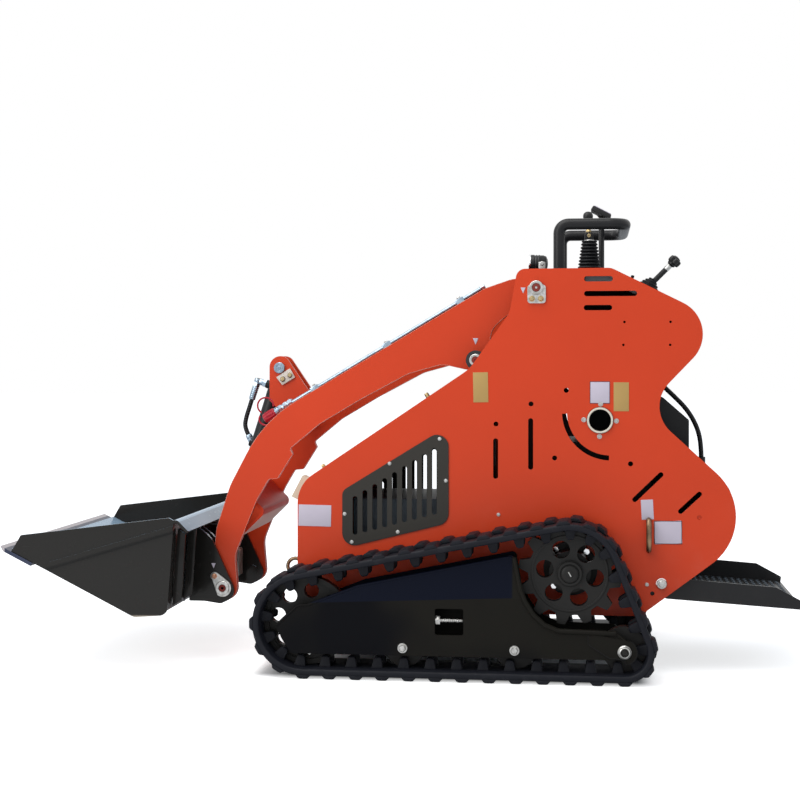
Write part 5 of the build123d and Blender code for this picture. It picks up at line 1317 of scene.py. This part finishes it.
def make_bucket_trim():
    lines = []
    ribs, crease = Shape(), Shape()
    for side, _ in SIDES:
        lines.append(rounded([spot(x, side * BUCKET_IN, z) for x, z in BUCKET_BACK], 40.0))
        lines.append([spot(-1184 + 0.3, side * 300.0, 176), spot(-1170, side * 300.0, 396)])
        for y in (298.0, 420.0):
            ribs.prism(BUCKET_RIB, side * y, side * (y + 8), 1.0)
        # Dark strips of painted shade along the bucket's creases
        crease.prism(BUCKET_CREASE, side * 479.6, side * 481.0, 0.3)
    mesh = bead_tree().run(
        curve_object("bucket_welds", lines), "bucket", pitch=BEAD_R * 1.1 * MM, radius=BEAD_R * MM,
        seed=BEAD_SEED)
    place_piece("bucket_welds", mesh, "bucket", "bucket_body", 60.0)
    ribs.piece("bucket_ribs", "bucket", "bucket_body")
    crease.piece("bucket_creases", "shade_line", "bucket_body")


# Cords: the drive cable that loops out of the rear panels, and the hose beside the tilt cylinder
CABLE_ROUTE = [
    (0.7526, -0.0420, 0.8105), (0.7772, -0.0420, 0.7870), (0.8185, -0.0460, 0.7460),
    (0.8465, -0.0500, 0.7000), (0.8615, -0.0520, 0.6500), (0.8625, -0.0520, 0.6023)]
HOSE_ROUTE = [
    (-0.50651, 0.0, 0.76711), (-0.51496, 0.0, 0.74042), (-0.52550, 0.0, 0.70800),
    (-0.52909, 0.0, 0.67984), (-0.51757, 0.0, 0.65765)]
CORDS = [                    # name, node, body, slot, route, length, diameter
    ("drive_cable", "rear_cable", "chassis", "black_plastic", CABLE_ROUTE, 0.2455, 0.014),
    ("hydraulic_hose", "tilt_hose", "tilt_barrel_body", "track_rubber", HOSE_ROUTE, 0.116, 0.014),
]


def make_cords():
    for name, node, body, slot, route, length, diameter in CORDS:
        cord = curve_object(name, [route], "NURBS")
        data = cord.data
        data.splines[0].order_u = 3
        data.splines[0].use_endpoint_u = True
        data.bevel_depth = diameter / 2
        data.bevel_resolution = 6
        data.use_fill_caps = True
        data.resolution_u = 16
        data.materials.append(FINISHES["hose"])
        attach(cord, body)
        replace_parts(cord, node)


FLOOR_REACH = 40.0
FLOOR_GLOW = 0.68
UNDER_LOADER = ((-0.44, -0.38), (0.66, 0.72), (0.40, 0.47))
LOOKED_AT = Vector((0.0, 0.0, 0.6))
LIGHTS = [                   # name, place, size, power, tint
    ("overhead", (-1.2, -1.5, 5.0), 4.0, 170.0, (1.0, 0.99, 0.97)),
    ("front_left", (-4.0, -4.5, 2.6), 3.0, 110.0, (1.0, 0.98, 0.95)),
]


def make_sky():
    """Soft bluish light all round, white where the camera or a mirror looks at it."""
    scene = bpy.context.scene
    scene.view_settings.view_transform = "Standard"
    world = bpy.data.worlds.new("studio")
    scene.world = world
    world.use_nodes = True
    sky = Graph(world.node_tree)
    sky.tree.nodes.clear()
    rays_seen = sky.add("ShaderNodeLightPath", output="Is Camera Ray")
    seen = rays_seen + rays_seen.beside("Is Glossy Ray") + rays_seen.beside("Is Transmission Ray")
    lit = sky.add("ShaderNodeBackground", {"Color": (0.86, 0.92, 1.0, 1.0), "Strength": 0.62})
    white = sky.add("ShaderNodeBackground", {"Color": (1.0, 1.0, 1.0, 1.0), "Strength": 1.0})
    both_skies = sky.add("ShaderNodeMixShader", {0: seen.rising(0.0, 1.0), 1: lit, 2: white})
    sky.add("ShaderNodeOutputWorld", {"Surface": both_skies})


def make_floor():
    """Pale floor that keeps the shadow and glows to white outside the loader's footprint."""
    mesh = bpy.data.meshes.new("floor")
    mesh.from_pydata([(a * FLOOR_REACH, b * FLOOR_REACH, 0) for a, b in CORNERS], [], [(0, 1, 2, 3)])
    floor = loose_object("floor", mesh)
    pale = Finish("pale_floor")
    seen = pale.add("ShaderNodeLightPath", output="Is Camera Ray")
    matt = pale.add("ShaderNodeBsdfDiffuse", {"Color": (0.86, 0.86, 0.86, 1.0)})
    front, rear, beside = UNDER_LOADER
    along = pale.axis(0)
    under = along.rising(*front) * (1.0 - along.rising(*rear)) * (1.0 - abs(pale.axis(1)).rising(*beside))
    light = seen * (1.0 - under) * FLOOR_GLOW
    glow = pale.add("ShaderNodeEmission", {"Color": (1.0, 1.0, 1.0, 1.0), "Strength": light})
    pale.add("ShaderNodeOutputMaterial", {"Surface": pale.add("ShaderNodeAddShader", {0: matt, 1: glow})})
    mesh.materials.append(pale.material)


def make_lights():
    for name, place, size, power, tint in LIGHTS:
        data = bpy.data.lights.new(name, "AREA")
        data.shape = "SQUARE"
        data.size = size
        data.energy = power
        data.color = tint
        lamp = loose_object(name, data)
        lamp.location = place
        lamp.rotation_euler = (LOOKED_AT - Vector(place)).to_track_quat("-Z", "Y").to_euler()


make_camera()
make_sky()
make_floor()
make_lights()
make_cords()
dress_nodes()
make_tracks()
make_frame_trim()
make_sprocket_trim()
make_side_fasteners()
make_side_trim()
make_blank_plates()
make_levers()
make_pod()
make_boom_lever()
make_lamp()
make_treads()
make_arm_lines()
make_bracket_trim()
make_coupler_trim()
make_cylinder_trim()
make_bucket_trim()
